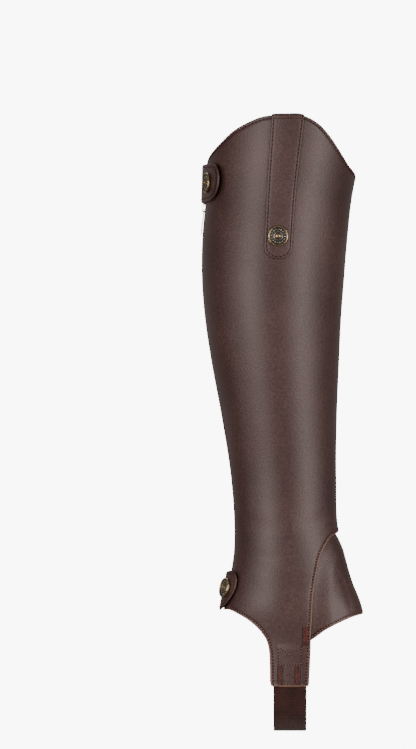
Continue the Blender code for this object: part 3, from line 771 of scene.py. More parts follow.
@dataclass(frozen=True)
class SmoothLeather(Finish):
    """Chrome tanned cowhide with a finished grain.

    The top coat is semi-matt, so broad lights spread over it. The pebble grain breaks them into
    small flecks, and the hide is darker in some parts than in others. A cut edge shows the paler
    fibre below the coat, and its pale colour also paints a highlight along the rounded rim.
    """

    name: str = "smooth_leather"
    roughness: float = 0.5
    dark: str = "#2f1b18"
    middle: str = "#3c2623"
    light: str = "#4b3432"
    # Rim colour: the paler fibre of a cut edge, which also paints a highlight on the rounded rim
    cut: str = "#86604f"
    cloud: float = 45.0
    fleck: float = 2.2
    grain: float = 1.5
    crease: float = 1.2

    def dress(self, tree: Tree) -> dict[str, object]:
        """Colour from broad and fine noise and the pale cut edge (real fibre plus painted rim highlight),
        grain from cells and fine creases.
        """
        place = node(tree, "TexCoord").outputs["Object"]
        broad = node(tree, "TexNoise", {"Vector": place, "Scale": spacing(self.cloud), "Detail": 3.0})
        fine = node(tree, "TexNoise", {"Vector": place, "Scale": spacing(self.fleck), "Detail": 4.0})
        mixed = node(tree, "Math", {0: broad, 1: fine, 2: 0.12}, operation="MULTIPLY_ADD")
        tone = node(tree, "ValToRGB", {"Fac": mixed}, {0.2: self.dark, 0.38: self.middle, 0.6: self.light})
        # Near the rim the cut colour is mixed in: partly paler real fibre, partly a painted highlight on the
        # rounded edge
        edge = node(tree, "Attribute", attribute_name="edge").outputs["Fac"]
        fibre_and_highlight = node(tree, "MapRange", {
            "Value": edge, "From Min": 0.3, "From Max": 1.0, "To Min": 0.55, "To Max": 0.0,
        })
        mix = node(tree, "Mix", {0: fibre_and_highlight, 6: tone, 7: colour(self.cut)}, data_type="RGBA")
        shine = node(tree, "MapRange", {
            "Value": fine, "From Min": 0.3, "From Max": 0.7,
            "To Min": self.roughness - 0.03, "To Max": self.roughness + 0.03,
        })
        cells = node(tree, "TexVoronoi", {"Vector": place, "Scale": spacing(self.grain)}, feature="SMOOTH_F1")
        tall = node(tree, "Mapping", {"Vector": place, "Scale": (1.0, 1.0, 0.45)})
        creases = node(tree, "TexNoise", {
            "Vector": tall, "Scale": spacing(self.crease), "Detail": 3.0, "Distortion": 1.2,
        })
        height = node(tree, "Math", {0: cells, 1: creases}, operation="ADD")
        bump = node(tree, "Bump", {"Height": height, "Strength": 0.48, "Distance": 0.16 * MM})
        return {"Base Color": mix.outputs[2], "Roughness": shine, "Normal": bump}


@dataclass(frozen=True)
class SplitSuede(Finish):
    """Split cowhide with its nap brushed up.

    The nap is dull, lies in different ways from patch to patch and so is mottled, and its hairs
    catch the light at grazing angles.
    """

    name: str = "brushed_suede"
    roughness: float = 0.95
    even: Even = (
        ("Sheen Weight", 0.45), ("Sheen Roughness", 0.45), ("Sheen Tint", "#b98a78"),
        ("Specular IOR Level", 0.15),
    )
    dark: str = "#42281e"
    middle: str = "#5d3c2f"
    light: str = "#7a5142"
    patch: float = 26.0
    tuft: float = 2.2

    def dress(self, tree: Tree) -> dict[str, object]:
        """Patches and tufts from noise of two sizes, three tenths of the tone from the patches."""
        place = node(tree, "TexCoord").outputs["Object"]
        patch = node(tree, "TexNoise", {"Vector": place, "Scale": spacing(self.patch), "Detail": 3.0})
        tuft = node(tree, "TexNoise", {"Vector": place, "Scale": spacing(self.tuft), "Detail": 4.0})
        part = node(tree, "Math", {0: patch, 1: 0.3}, operation="MULTIPLY")
        both = node(tree, "Math", {0: tuft, 1: 0.7, 2: part}, operation="MULTIPLY_ADD")
        tone = node(tree, "ValToRGB", {"Fac": both}, {0.38: self.dark, 0.5: self.middle, 0.62: self.light})
        bump = node(tree, "Bump", {"Height": tuft, "Strength": 0.8, "Distance": 0.5 * MM})
        return {"Base Color": tone, "Normal": bump}


@dataclass(frozen=True)
class WovenCloth(Finish):
    """Plain woven polyester or cotton cloth, seen as a fine dull check of threads.

    The thread spacing is drawn at about 1 mm, coarser than the real 0.4 mm, so that it shows.
    """

    name: str = "lining_cloth"
    roughness: float = 0.9
    even: Even = (("Sheen Weight", 0.2), ("Specular IOR Level", 0.2))
    dark: str = "#1a1a1d"
    light: str = "#3b3b40"
    thread: float = 1.0
    cloud: float = 9.0

    def dress(self, tree: Tree) -> dict[str, object]:
        """Two crossing waves on the flat coordinates, over noise for how the cloth has worn."""
        coordinates = node(tree, "TexCoord")
        # A wave band repeats each pi / 10 of its scaled length
        rate = math.pi / 10 * spacing(self.thread)
        flat = {"Vector": coordinates.outputs["UV"], "Scale": rate}
        warp = node(tree, "TexWave", flat, bands_direction="X").outputs["Fac"]
        weft = node(tree, "TexWave", flat, bands_direction="Y").outputs["Fac"]
        weave = node(tree, "Math", {0: warp, 1: weft}, operation="MULTIPLY")
        place = coordinates.outputs["Object"]
        worn = node(tree, "TexNoise", {"Vector": place, "Scale": spacing(self.cloud), "Detail": 3.0})
        both = node(tree, "Math", {0: weave, 1: 0.5, 2: worn}, operation="MULTIPLY_ADD")
        tone = node(tree, "ValToRGB", {"Fac": both}, {0.35: self.dark, 0.95: self.light})
        bump = node(tree, "Bump", {"Height": weave, "Strength": 0.6, "Distance": 0.15 * MM})
        return {"Base Color": tone, "Normal": bump}


@dataclass(frozen=True)
class NoiseFinish(Finish):
    """A finish whose tone goes from dark to light over noise, and whose bump follows finer noise.

    The sizes are in millimetres. A relief of 0 leaves the bump out.
    """

    dark: str = "#000000"
    light: str = "#ffffff"
    cloud: float = 5.0
    detail: float = 2.0
    fine: float = 0.35
    fine_detail: float = 1.0
    relief: float = 0.05
    strength: float = 0.5

    def dress(self, tree: Tree) -> dict[str, object]:
        """Tone from one noise and bump from another."""
        place = node(tree, "TexCoord").outputs["Object"]
        noise = node(tree, "TexNoise", {"Vector": place, "Scale": spacing(self.cloud), "Detail": self.detail})
        found = {"Base Color": node(tree, "ValToRGB", {"Fac": noise}, {0.3: self.dark, 0.7: self.light})}
        if self.relief:
            scale = spacing(self.fine)
            fine = node(tree, "TexNoise", {"Vector": place, "Scale": scale, "Detail": self.fine_detail})
            links = {"Height": fine, "Strength": self.strength, "Distance": self.relief * MM}
            found["Normal"] = node(tree, "Bump", links)
        return found


@dataclass(frozen=True)
class Thread(NoiseFinish):
    """Bonded polyester sewing thread, slightly shiny, its two plies wound round each other.

    Its tone changes over a few stitches, and the plies show as fine bumps.
    """

    name: str = "rust_thread"
    roughness: float = 0.55
    dark: str = "#34110c"
    light: str = "#5b2319"


@dataclass(frozen=True)
class NeedleHoleShade(NoiseFinish):
    """Painted shade of the hole that the needle leaves at each end of a stitch: a nearly black patch."""

    name: str = "needle_hole_shade"
    roughness: float = 1.0
    dark: str = "#0c0403"
    light: str = "#1e0d09"
    cloud: float = 2.0
    detail: float = 1.0
    relief: float = 0.0


@dataclass(frozen=True)
class DarkPatina(NoiseFinish):
    """The recess of a cast brass cap, left nearly black by the patina, with a faint blue cast."""

    name: str = "dark_patina"
    roughness: float = 0.42
    even: Even = (("Metallic", 0.6),)
    dark: str = "#1d2126"
    light: str = "#3c4348"
    cloud: float = 0.9
    detail: float = 3.0
    fine: float = 0.9
    fine_detail: float = 3.0
    relief: float = 0.04
    strength: float = 0.4


@dataclass(frozen=True)
class AntiqueBrass(Finish):
    """Die-cast brass plate, darkened and then brushed bright on its high places.

    It reflects with a warm tint, and the tarnish that is left makes it darker and duller in spots.
    """

    name: str = "antique_brass"
    roughness: float = 0.34
    even: Even = (("Metallic", 1.0),)
    dark: str = "#5f4d33"
    light: str = "#bda682"
    spot: float = 1.6

    def dress(self, tree: Tree) -> dict[str, object]:
        """Tarnish, roughness and small dents from one noise."""
        place = node(tree, "TexCoord").outputs["Object"]
        noise = node(tree, "TexNoise", {"Vector": place, "Scale": spacing(self.spot), "Detail": 4.0})
        tone = node(tree, "ValToRGB", {"Fac": noise}, {0.35: self.dark, 0.6: self.light})
        dull = node(tree, "MapRange", {
            "Value": noise, "From Min": 0.3, "From Max": 0.7,
            "To Min": self.roughness + 0.16, "To Max": self.roughness - 0.06,
        })
        bump = node(tree, "Bump", {"Height": noise, "Strength": 0.15, "Distance": 0.02 * MM})
        return {"Base Color": tone, "Roughness": dull, "Normal": bump}


@dataclass(frozen=True)
class PaleFloor(Finish):
    """Matt white paper on the studio floor, which fades into the backdrop away from the chap."""

    name: str = "pale_paper"
    roughness: float = 0.8
    dark: str = "#f4f3f1"
    light: str = "#fbfaf9"
    fibre: float = 3.0
    near: float = 0.02
    far: float = 0.35
    densest: float = 0.2

    def dress(self, tree: Tree) -> dict[str, object]:
        """Even paper, less and less of it with the distance from the middle."""
        place = node(tree, "TexCoord").outputs["Object"]
        noise = node(tree, "TexNoise", {"Vector": place, "Scale": spacing(self.fibre), "Detail": 2.0})
        tone = node(tree, "ValToRGB", {"Fac": noise}, {0.3: self.dark, 0.7: self.light})
        away = node(tree, "VectorMath", {0: place}, operation="LENGTH").outputs["Value"]
        fade = node(tree, "MapRange", {
            "Value": away, "From Min": self.near, "From Max": self.far, "To Min": self.densest, "To Max": 0.0,
        }, interpolation_type="SMOOTHSTEP")
        return {"Base Color": tone, "Alpha": fade}


# Cowhide with unfinished cut edges: a thin line of paler fibre, which also paints a highlight along the
# rounded rim
LEATHER_FINISH = SmoothLeather()
# The same hide with its edges folded in or dyed, so that they stay nearly as dark as its face
TURNED_FINISH = SmoothLeather(name="turned_edge_leather", cut="#35201a")
# Split hide, brushed to a nap: dull, mottled and warm
SUEDE_FINISH = SplitSuede()
# Black lining cloth, plain woven: dull and nearly even
LINING_FINISH = WovenCloth()
# Rubber thread woven in with polyester, ribbed across: dark and dull
ELASTIC_FINISH = WovenCloth(name="elastic_webbing", dark="#1f0e0c", light="#3c211c", thread=1.25)
# Zip tape woven of polyester and dyed to the leather
TAPE_FINISH = WovenCloth(name="zip_tape_cloth", dark="#24120e", light="#3e2620", thread=0.9)
# The thread of the top row, the strap, the tabs and the bars, redder than the leather
THREAD_FINISH = Thread()
# The paler thread of the ankle's rows, the stirrup tabs and the folded top of the suede
PALE_THREAD = Thread(name="pink_brown_thread", dark="#53302a", light="#835a4f")
# The thread of the back edges, the long seam and the facing, close to the leather
DARK_THREAD = Thread(name="dark_brown_thread", dark="#210b07", light="#451c14")
# Cast caps with their high places brushed bright
BRASS_FINISH = AntiqueBrass()
# Drawn and stamped zip metal with a dark plating, worn a little
ZIP_FINISH = AntiqueBrass(name="dark_zip_metal", roughness=0.5, dark="#33261a", light="#705838")
# Painted shade inside the needle holes, as near-black patches
HOLE_SHADE_FINISH = NeedleHoleShade()
# Recesses of the caps, black with patina
PATINA_FINISH = DarkPatina()


def piece_name(node_name: str) -> str:
    """Name of the piece that stands for a solid."""
    return node_name + "_piece"


def settle(
    piece: bpy.types.Object, finishes: Sequence[Finish], replaced: Sequence[str] = (),
    body: Body = Body.CHAP,
) -> None:
    """Dresses a piece, puts it on its body and hides the solids that it stands for.

    Args:
        piece: The object.
        finishes: Its finishes, in the order of its faces' numbers.
        replaced: Names of the solids.
        body: The body that it rides on.
    """
    for finish in finishes:
        piece.data.materials.append(finish.material())
    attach(piece, body.value)
    if replaced:
        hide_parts(*replaced)
    LOG.info("%s: %d faces", piece.name, len(piece.data.polygons))


# Sewing


@dataclass
class SurfaceLine:
    """A line on a surface, with the surface's normals, for thread to follow."""

    points: Array
    normals: Array

    def inset(self, distance: float) -> "SurfaceLine":
        """The line moved to its left along the surface, by normal times direction."""
        run = unit(np.gradient(self.points, axis=0))
        return SurfaceLine(self.points + np.cross(self.normals, run) * distance, self.normals)

    def turned_over(self) -> "SurfaceLine":
        """The same line for thread on an inner face, with its normals the other way."""
        return SurfaceLine(self.points, -self.normals)

    def even(self, pitch: float) -> tuple[Array, Array, Array]:
        """Finds the places of a row.

        Args:
            pitch: Distance from one place to the next.

        Returns:
            The places, and the line's direction and the surface's normal at each.
        """
        along = run_length(self.points)
        count = max(2, int(along[-1] / pitch))
        spots = (np.arange(count) + 0.5) * along[-1] / count
        places = at_lengths(self.points, along, spots)
        normals = at_lengths(self.normals, along, spots)
        run = unit(np.gradient(places, axis=0))
        return places, run, unit(normals - run * (normals * run).sum(-1, keepdims=True))


@dataclass(frozen=True)
class Stitch:
    """How a row is sewn: its pitch, the thread, and a stitch's share of the pitch.

    The thread is drawn twice as thick as real thread of 0.4 mm, and the finest rows with a pitch of
    2.4 mm for the real 1.8 mm, so that they show.
    """

    pitch: float = 2.4
    thread: float = 0.8
    share: float = 0.7


FINE_ROW = Stitch()
EDGE_ROW = Stitch(3.2, 0.8, 0.6)
TAB_STITCH = Stitch(2.6, 0.75, 0.62)
STIRRUP_ROW = Stitch(2.2)
LOOP_ROW = Stitch(1.8)
FACING_ROW = Stitch(3.2, 0.5)
LINING_ROW = Stitch(3.0, 0.45)


class Sewing:
    """All the stitches of one finish, as one mesh of small closed threads.

    A stitch is a round thread of six sides. Along its length its radius is the thread's times
    sqrt(1 - (2 share - 1)^4) and its middle stands up by the rise times 1 - (2 share - 1)², so its
    ends go down into the leather.
    """

    SHARES = (0.06, 0.3, 0.7, 0.94)
    SIDES = 6
    SINK = 0.15
    RISE = 0.3
    BAR_RISE = 0.1
    BAR_LEAN = 0.25
    # Sizes and depth of the near-black patches at stitch ends, which paint the shade inside the needle holes
    BAR_HOLE = 0.8
    HOLE_SINK = 0.35
    HOLE_WIDTH = 1.2
    HOLE_LENGTH = 1.5
    HOLE_SHARE = 0.6

    def __init__(self, holes: "Sewing | None" = None) -> None:
        """Works out one stitch's shares along and its sideways and outward parts, poles last.

        Args:
            holes: Where every stitch gets near-black patches of painted shade for its needle holes, if it has
                any.
        """
        self.holes = holes
        self.points: list[Array] = []
        self.count = 0
        turn = np.arange(self.SIDES) * math.tau / self.SIDES
        share = np.repeat(self.SHARES, self.SIDES)
        girth = np.sqrt(1 - (2 * share - 1) ** 4)
        poles = [0.0, 0.0]
        self.share = np.append(share, [0.0, 1.0])
        self.side = np.append(np.tile(np.cos(turn), len(self.SHARES)) * girth, poles)
        self.out = np.append(np.tile(np.sin(turn), len(self.SHARES)) * girth, poles)

    def add(
        self, places: Array, run: Array, normals: Array, length: float, thread: float, rise: float
    ) -> None:
        """Adds a stitch at each place.

        Args:
            places: Middles of the stitches.
            run: Directions that they lie in.
            normals: Normals of the surface that they lie on.
            length: Length of a stitch.
            thread: Thickness of the thread.
            rise: How far its middle stands up.
        """
        beside = np.cross(normals, run)
        middle = places[:, None] + run[:, None] * ((self.share - 0.5) * length)[:, None]
        lift = self.out * thread / 2 + rise * (1 - (2 * self.share - 1) ** 2) - rise / 2
        made = middle + beside[:, None] * (self.side * thread / 2)[:, None] + normals[:, None] * lift[:, None]
        self.points.append(made.reshape(-1, 3))
        self.count += len(places)

    def row(self, line: SurfaceLine, stitch: Stitch = FINE_ROW, keep: Curve | None = None) -> None:
        """Adds a row of stitches along a line.

        Args:
            line: The line.
            stitch: How the row is sewn.
            keep: Says of places whether they get a stitch.
        """
        places, run, normals = line.even(stitch.pitch)
        if keep:
            chosen = keep(places)
            places, run, normals = places[chosen], run[chosen], normals[chosen]
        length = stitch.pitch * stitch.share
        self.add(places - normals * self.SINK, run, normals, length, stitch.thread, self.RISE)
        # A near-black patch between two stitches paints the shade inside the needle hole
        if self.holes:
            spots = places + run * stitch.pitch / 2 - normals * self.HOLE_SINK
            length = min(self.HOLE_LENGTH, stitch.pitch * self.HOLE_SHARE)
            self.holes.add(spots, run, normals, length, self.HOLE_WIDTH, 0.0)

    def zigzag(self, line: SurfaceLine, width: float, pitch: float = 0.8, thread: float = 0.9) -> None:
        """Adds a bar of stitches that cross a line, so close that they hide what is below.

        Args:
            line: The line.
            width: Width of the bar.
            pitch: Distance between two stitches.
            thread: Thickness of the thread.
        """
        places, run, normals = line.even(pitch)
        way = np.where(np.arange(len(run)) % 2, 1, -1)[:, None]
        lean = unit(np.cross(normals, run) + run * self.BAR_LEAN * way)
        self.add(places, lean, normals, width, thread, self.BAR_RISE)
        # Near-black patches at both ends of each bar stitch paint the shade inside the needle holes
        if self.holes:
            for end in (-0.5, 0.5):
                self.holes.add(places + lean * width * end, run, normals, pitch, self.BAR_HOLE, 0.0)

    def make(self, name: str, finish: Finish) -> None:
        """Joins the stitches into one object.

        Args:
            name: Name of the object.
            finish: Its finish.
        """
        sides, rings = self.SIDES, len(self.SHARES)
        first = np.arange(sides)
        after = np.roll(first, -1)
        last = (rings - 1) * sides
        pole = np.full(sides, rings * sides)
        near = np.stack([first, after, pole], axis=1)
        far = np.stack([after + last, first + last, pole + 1], axis=1)
        blocks = (ring_faces(rings, sides, flip=True), near, far)
        faces = [repeated(block, rings * sides + 2, self.count) for block in blocks]
        settle(Mesh(np.concatenate(self.points), faces).make(name), [finish])


class Threads:
    """The sewing of the whole chap: threads of three colours, and near-black patches that paint the shade in
    the needle holes of them all.
    """

    def __init__(self) -> None:
        """Starts with no stitch."""
        self.holes = Sewing()
        self.rust = Sewing(self.holes)
        self.pale = Sewing(self.holes)
        self.dark = Sewing(self.holes)

    def build(self) -> None:
        """Makes one object of each."""
        self.rust.make("panel_stitches", THREAD_FINISH)
        self.pale.make("pale_stitches", PALE_THREAD)
        self.dark.make("dark_stitches", DARK_THREAD)
        self.holes.make("needle_hole_shades", HOLE_SHADE_FINISH)


# Panels


@dataclass(frozen=True)
class Crease:
    """A soft trough along a line seen from the side, which fades out towards its ends."""

    side: Side
    points: Pairs
    width: float
    depth: float
    fade_rate: float = 1.15
    fade_start: float = 0.25

    def sink(self, form: LegForm, place: Array) -> Array:
        """Works its depth out, as depth times exp(-(distance / width)²) times the fade.

        Args:
            form: The form that it lies on.
            place: Points of the pattern plane.

        Returns:
            How deep each point lies.
        """
        line = PlaneLine(form.on_side(self.points, self.side)).share(np.linspace(0, 1, 24)) * TO_MM
        spots = place * TO_MM
        away = distance_to(spots, line[:-1], line[1:])
        reach = np.linalg.norm(line[-1] - line[0]) / 2 + self.width
        outward = np.linalg.norm(spots - line[len(line) // 2], axis=1) / reach
        fade = 1 - smoothstep(outward * self.fade_rate - self.fade_start)
        return bell(away, 0.0, self.width, self.depth) * fade


@dataclass
class Panel:
    """A piece cut in the pattern plane and laid on the form.

    Above one height its edges are folded in, so neither the pale cut fibre nor its painted rim highlight
    shows there.
    """

    form: LegForm
    pattern: Pattern
    name: str = "panel"
    thick: float = LEATHER
    lift: float = 0.0
    finish: Finish = LEATHER_FINISH
    slot: Slot = Slot.LEATHER
    rests_on: tuple[str, ...] = ()
    folded_above: float = 60.0
    no_edge: float = 10.0

    def lay(
        self, place: Array, faces: Array, lifts: Array | float | None = None, relief: Array | float = 0.0,
        flat_size: Pair | None = None, with_pieces: Sequence[str] = (),
    ) -> None:
        """Makes the wall and dresses it.

        Args:
            place: Points of the plane, as angle and height.
            faces: Faces between them.
            lifts: Lift of the inner face, if it isn't the panel's own.
            relief: What is added to the outer face.
            flat_size: Width and length of the flat cut in metres, if it is a sheet by itself. Not used.
            with_pieces: Names of the solids that are sewn on and go with the sheet. Not used.
        """
        lifts = self.lift if lifts is None else lifts
        outer = self.form.laid(place, lifts + self.thick + relief)
        built = wall(outer, self.form.laid(place, lifts), faces, place * TO_MM)
        built.edge = np.where(built.points[:, 2] > self.folded_above, self.no_edge, built.edge)
        made = built.make(piece_name(self.name))
        settle(made, [self.finish], [self.name])

    def line(self, places: Array, lift: float) -> SurfaceLine:
        """A line of the plane at a lift, with the skin's normals."""
        return SurfaceLine(self.form.laid(places, lift), self.form.outward(places[:, 0], places[:, 1]))

    def tucked(self, away: Array, far: float) -> Array:
        """Lift of the inner face, which goes down beside a seam and is level from far away from it."""
        return -(self.thick + GAP) * (1 - smoothstep((away - STEP_NEAR) / (far - STEP_NEAR)))


def folded(place: Array) -> Array:
    """Angles of points, with those of the inner side given as if they lay on the outer side."""
    return np.where(place[..., 0] > 180, 360 - place[..., 0], place[..., 0])


def mirrored(place: Array) -> Array:
    """Points of the plane on the other side of the leg."""
    return place * [-1, 1] + [360, 0]


def apart(left: Array, right: Array) -> Array:
    """Distance in the plane between the points of two lines."""
    return np.linalg.norm((right - left) * TO_MM, axis=1)


def shares_up(height: float, rows: int, start: bool, end: bool) -> Array:
    """Shares up a patch: even, and close together beside an edge.

    Args:
        height: Height of the patch in millimetres.
        rows: Number of even rows.
        start: Whether the patch starts at an edge.
        end: Whether it ends at an edge.

    Returns:
        Shares from 0 to 1.
    """
    near = EDGE_OFFSETS / height
    head = near[:-1] if start else near[:0]
    tail = 1 - (near[:-1] if end else near[:0])[::-1]
    even = np.linspace(near[-1] if start else 0.0, 1 - near[-1] if end else 1.0, rows)
    return np.concatenate([head, even, tail])


@dataclass
class MainPanel(Panel):
    """The smooth leather: round the outer side and the front, with a lobe down each side of the ankle.

    The elastic that lies under the leather of a stirrup tab shows as a soft raised block there.
    """

    name: str = "main_panel"
    rests_on: tuple[str, ...] = ("zip_tape_outer",)
    outer_columns: int = 84
    inner_columns: int = 46
    rows: int = 146
    back_rows: int = 30
    inner_back_rows: int = 12
    seam_rows: int = 38
    heel_rows: int = 52
    calf_height: float = 300.0
    even_from: float = 0.3
    foot_rows: Pairs = ((0.35, 0.7), (1.0, 1.0))
    groove: float = 0.35
    crease_free: float = 8.0
    block: float = 0.9
    block_sides: Pair = (3.2, 21.6)
    block_head: float = -301.6
    block_degree: float = 0.75
    block_ease: float = 1.2
    seam_row_inset: float = 1.4
    creases: tuple[Crease, ...] = (
        Crease(Side.OUTER, ((-31, -192), (-16, -203), (4, -209)), 7.0, 0.55),
        Crease(Side.OUTER, ((-30, -224), (-14, -231), (8, -232)), 6.0, 0.5),
        Crease(Side.OUTER, ((-33, -250), (-20, -252), (-6, -262)), 6.0, 0.4),
        Crease(Side.OUTER, ((44, -196), (30, -203), (18, -204)), 6.0, 0.45),
        Crease(Side.OUTER, ((-44, -60), (-41, -104), (-34, -150)), 13.0, 0.6),
        Crease(Side.OUTER, ((34, 60), (38, 20), (36, -30)), 14.0, 0.4),
        Crease(Side.OUTER, ((20, -236), (14, -252), (10, -280)), 7.0, 0.35),
        Crease(Side.INNER, ((40, -192), (30, -200), (20, -202)), 6.0, 0.5),
        Crease(Side.INNER, ((-24, -252), (-10, -250), (6, -244)), 6.0, 0.45),
        Crease(Side.INNER, ((22, -226), (14, -246), (10, -276)), 7.0, 0.4),
    )

    def lobe(self, left: Array, right: Array, columns: int) -> tuple[Array, Array]:
        """Lays a lobe out downwards, on straight lines between its two sides.

        Two more rows, each lower and narrower, round its foot.

        Args:
            left: Points of one side.
            right: Points of the other side.
            columns: Number of points in a row.

        Returns:
            Points, rows by columns, and their shares across.
        """
        run = right[-1] - left[-1]
        share = TAB_CORNER / abs(run[0] * ROUND)
        steps = [(run * share * part, np.array([0.0, -TAB_CORNER * drop])) for part, drop in self.foot_rows]
        left = np.vstack([left, *(left[-1] + step + low for step, low in steps)])
        right = np.vstack([right, *(right[-1] - step + low for step, low in steps)])
        across = spread(apart(left, right), columns)
        return left[:, None] + (right - left)[:, None] * across[..., None], across

    def outer_lobe(self) -> tuple[Array, Array]:
        """Lays out the outer side of the ankle: its points and their shares across."""
        part = np.linspace(0, 1, self.heel_rows)[1:]
        back = self.pattern.back_edge(np.linspace(APEX, HEEL, self.back_rows), Side.OUTER)
        heel = self.pattern.heel[Side.OUTER]
        turn = (APEX - HEEL) / (APEX - HEEL + heel.length)
        share = np.concatenate([np.linspace(0, turn, self.back_rows), turn + (1 - turn) * part])
        left = np.concatenate([back, heel.share(part)])
        return self.lobe(left, self.pattern.front[Side.OUTER].share(share), self.outer_columns)

    def inner_lobe(self) -> tuple[Array, Array]:
        """Lays out the inner side of the ankle: its points and their shares across."""
        seam = self.pattern.seam.at_heights(np.linspace(APEX, SEAM_FOOT, self.seam_rows))
        heights = np.linspace(SEAM_FOOT, HEEL, self.inner_back_rows)[1:]
        heel = self.pattern.heel[Side.INNER].share(np.linspace(0, 1, self.heel_rows)[1:])
        right = np.concatenate([seam, self.pattern.back_edge(heights, Side.INNER), heel])
        along = run_length(right * TO_MM)
        left = self.pattern.front[Side.INNER].share(along / along[-1])
        return self.lobe(left, right, self.inner_columns)

    def calf(self, start: float, end: float, first: Array) -> Array:
        """Lays out all that lies above the apex.

        Its columns start as those of the two lobes and become even further up.

        Args:
            start: Angle of the back edge at the apex.
            end: Angle of the seam at the apex.
            first: Shares across of the lowest row.

        Returns:
            Points, rows by columns.
        """
        form = self.form
        up = shares_up(self.calf_height, self.rows, False, True)
        even = spread(np.full(len(up), (end - start) * ROUND), len(first))
        across = even + (first - even) * np.clip(1 - up / self.even_from, 0, 1)[:, None] ** 2
        left = self.pattern.back_edge(APEX + (float(form.top(form.corner)) - APEX) * up, Side.OUTER)
        right = self.pattern.seam.at_heights(APEX + (SUEDE_SEAM[0][1] - APEX) * up)
        low = straight(np.array([start, APEX]), np.array([end, APEX]))
        return coons(left, right, low, form.along_top(left[-1, 0], form.seam_head), across, up)

    def build(self) -> None:
        """Lays the three patches out, joins them and makes the wall."""
        outer_lobe, outer_across = self.outer_lobe()
        inner_lobe, inner_across = self.inner_lobe()
        start, end = outer_lobe[0, 0, 0], inner_lobe[0, -1, 0]
        front = (180 - start) / (end - start)
        first = np.concatenate([outer_across[0] * front, front + (1 - front) * inner_across[0, 1:]])
        calf = self.calf(start, end, first)
        index = np.arange(calf[..., 0].size).reshape(calf.shape[:2])
        faces = [quads(index)]
        total = index.size
        rows = (index[:1, :self.outer_columns], index[:1, self.outer_columns - 1:])
        for lobe, shared in zip((outer_lobe[1:], inner_lobe[1:]), rows):
            below = np.vstack([shared, total + np.arange(lobe[..., 0].size).reshape(lobe.shape[:2])])
            faces.append(quads(below, True))
            total += lobe[..., 0].size
        place = np.concatenate([patch.reshape(-1, 2) for patch in (calf, outer_lobe[1:], inner_lobe[1:])])
        faces = np.concatenate(faces)
        outer = self.form.laid(place, self.thick)
        near = from_rim(outer, faces)
        relief = self.stirrup_relief(place) - bell(near, GROOVE_AT, GROOVE_WIDTH, self.groove)
        for crease in self.creases:
            relief -= crease.sink(self.form, place) * smoothstep(near / self.crease_free)
        grid = outer[index]
        length = line_length(grid, 0) + line_length(self.form.laid(outer_lobe, self.thick), 0)
        flat_size = (round(line_length(grid, 1), 3), round(length, 3))
        self.lay(place, faces, relief=relief, flat_size=flat_size, with_pieces=["top_facing"])

    def stirrup_relief(self, place: Array) -> Array:
        """Height of the raised block over each stirrup tab."""
        seen = folded(place)
        back, front = (self.form.angle_at(x, place[:, 1]) for x in self.block_sides)
        inside = np.minimum(seen - back, front - seen) * self.block_degree
        inside = np.minimum(inside, self.block_head - place[:, 1])
        return self.block * smoothstep((inside + 0.5) / self.block_ease)

    def sew(self, threads: Threads, strap: "TopStrap") -> None:
        """Sews the rows along every edge of the leather.

        Args:
            threads: Where the stitches go.
            strap: The strap, under which the row along the top is left out.
        """
        form, pattern = self.form, self.pattern
        top = form.along_top(form.corner, form.seam_head)(np.linspace(0, 1, 260))
        row = self.line(top, self.thick).inset(-ROW_INSET)
        threads.rust.row(row, EDGE_ROW, keep=lambda spots: ~strap.covers(spots))
        dense = np.linspace(0, 1, 240)
        for side, way, high in ((Side.OUTER, -ROW_INSET, 84.0), (Side.INNER, ROW_INSET, SEAM_FOOT)):
            threads.pale.row(self.line(pattern.front[side].share(dense), self.thick).inset(way))
            threads.pale.row(self.line(pattern.heel[side].share(dense), self.thick).inset(-way))
            back = pattern.back_edge(np.linspace(HEEL, high, 200), side)
            threads.dark.row(self.line(back, self.thick).inset(way))
        seam = self.line(pattern.seam.share(dense), self.thick)
        threads.dark.row(seam.inset(self.seam_row_inset))


@dataclass
class StirrupStitches:
    """The sewing that holds the elastic inside each stirrup tab, as seen from the side."""

    panel: MainPanel
    left: float = 3.6
    right: float = 21.6
    head: float = -301.2
    tip: float = -308.2
    middle: float = -315.6
    foot: float = -331.6
    loop: Pairs = ((9.4, -325), (11.5, -323), (13.1, -323.8), (15.5, -325.8))
    bar_width: float = 4.6
    high_bar: Pairs = ((25.3, -285.4), (25.3, -300.4))
    high_bar_width: float = 5.0

    def line(self, points: Sequence[Pair], side: Side) -> SurfaceLine:
        """Lays a line with straight parts on the raised block.

        Args:
            points: Its corners, in x and height.
            side: The side that it lies on.

        Returns:
            The line.
        """
        points = np.array(points, dtype=float)
        along = run_length(points)
        spots = np.linspace(0, along[-1], max(8, int(along[-1] * 2)))
        places = self.panel.form.on_side(at_lengths(points, along, spots), side)
        return self.panel.line(places, LEATHER + self.panel.block)

    def sew(self, threads: Threads) -> None:
        """Sews the rows, the V, the loop and the thick bars on both tabs."""
        left, right, head, middle, foot = self.left, self.right, self.head, self.middle, self.foot
        rows = (
            ((left, head), (left, middle)), ((right, head), (right, middle)),
            ((left, head), ((left + right) / 2, self.tip), (right, head)),
            ((left, middle), (right, middle)), ((left, foot), (right - 1, foot)),
        )
        for side in Side:
            for points in rows:
                threads.pale.row(self.line(points, side), STIRRUP_ROW)
            threads.rust.row(self.line(self.loop, side), LOOP_ROW)
            for x in (left + 1.3, right - 2.6):
                threads.rust.zigzag(self.line([(x, middle - 0.8), (x, foot + 0.8)], side), self.bar_width)
            bar = PlaneLine(self.panel.form.on_side(self.high_bar, side)).share(np.linspace(0, 1, 30))
            threads.rust.zigzag(self.panel.line(bar, LEATHER + 0.1), self.high_bar_width)


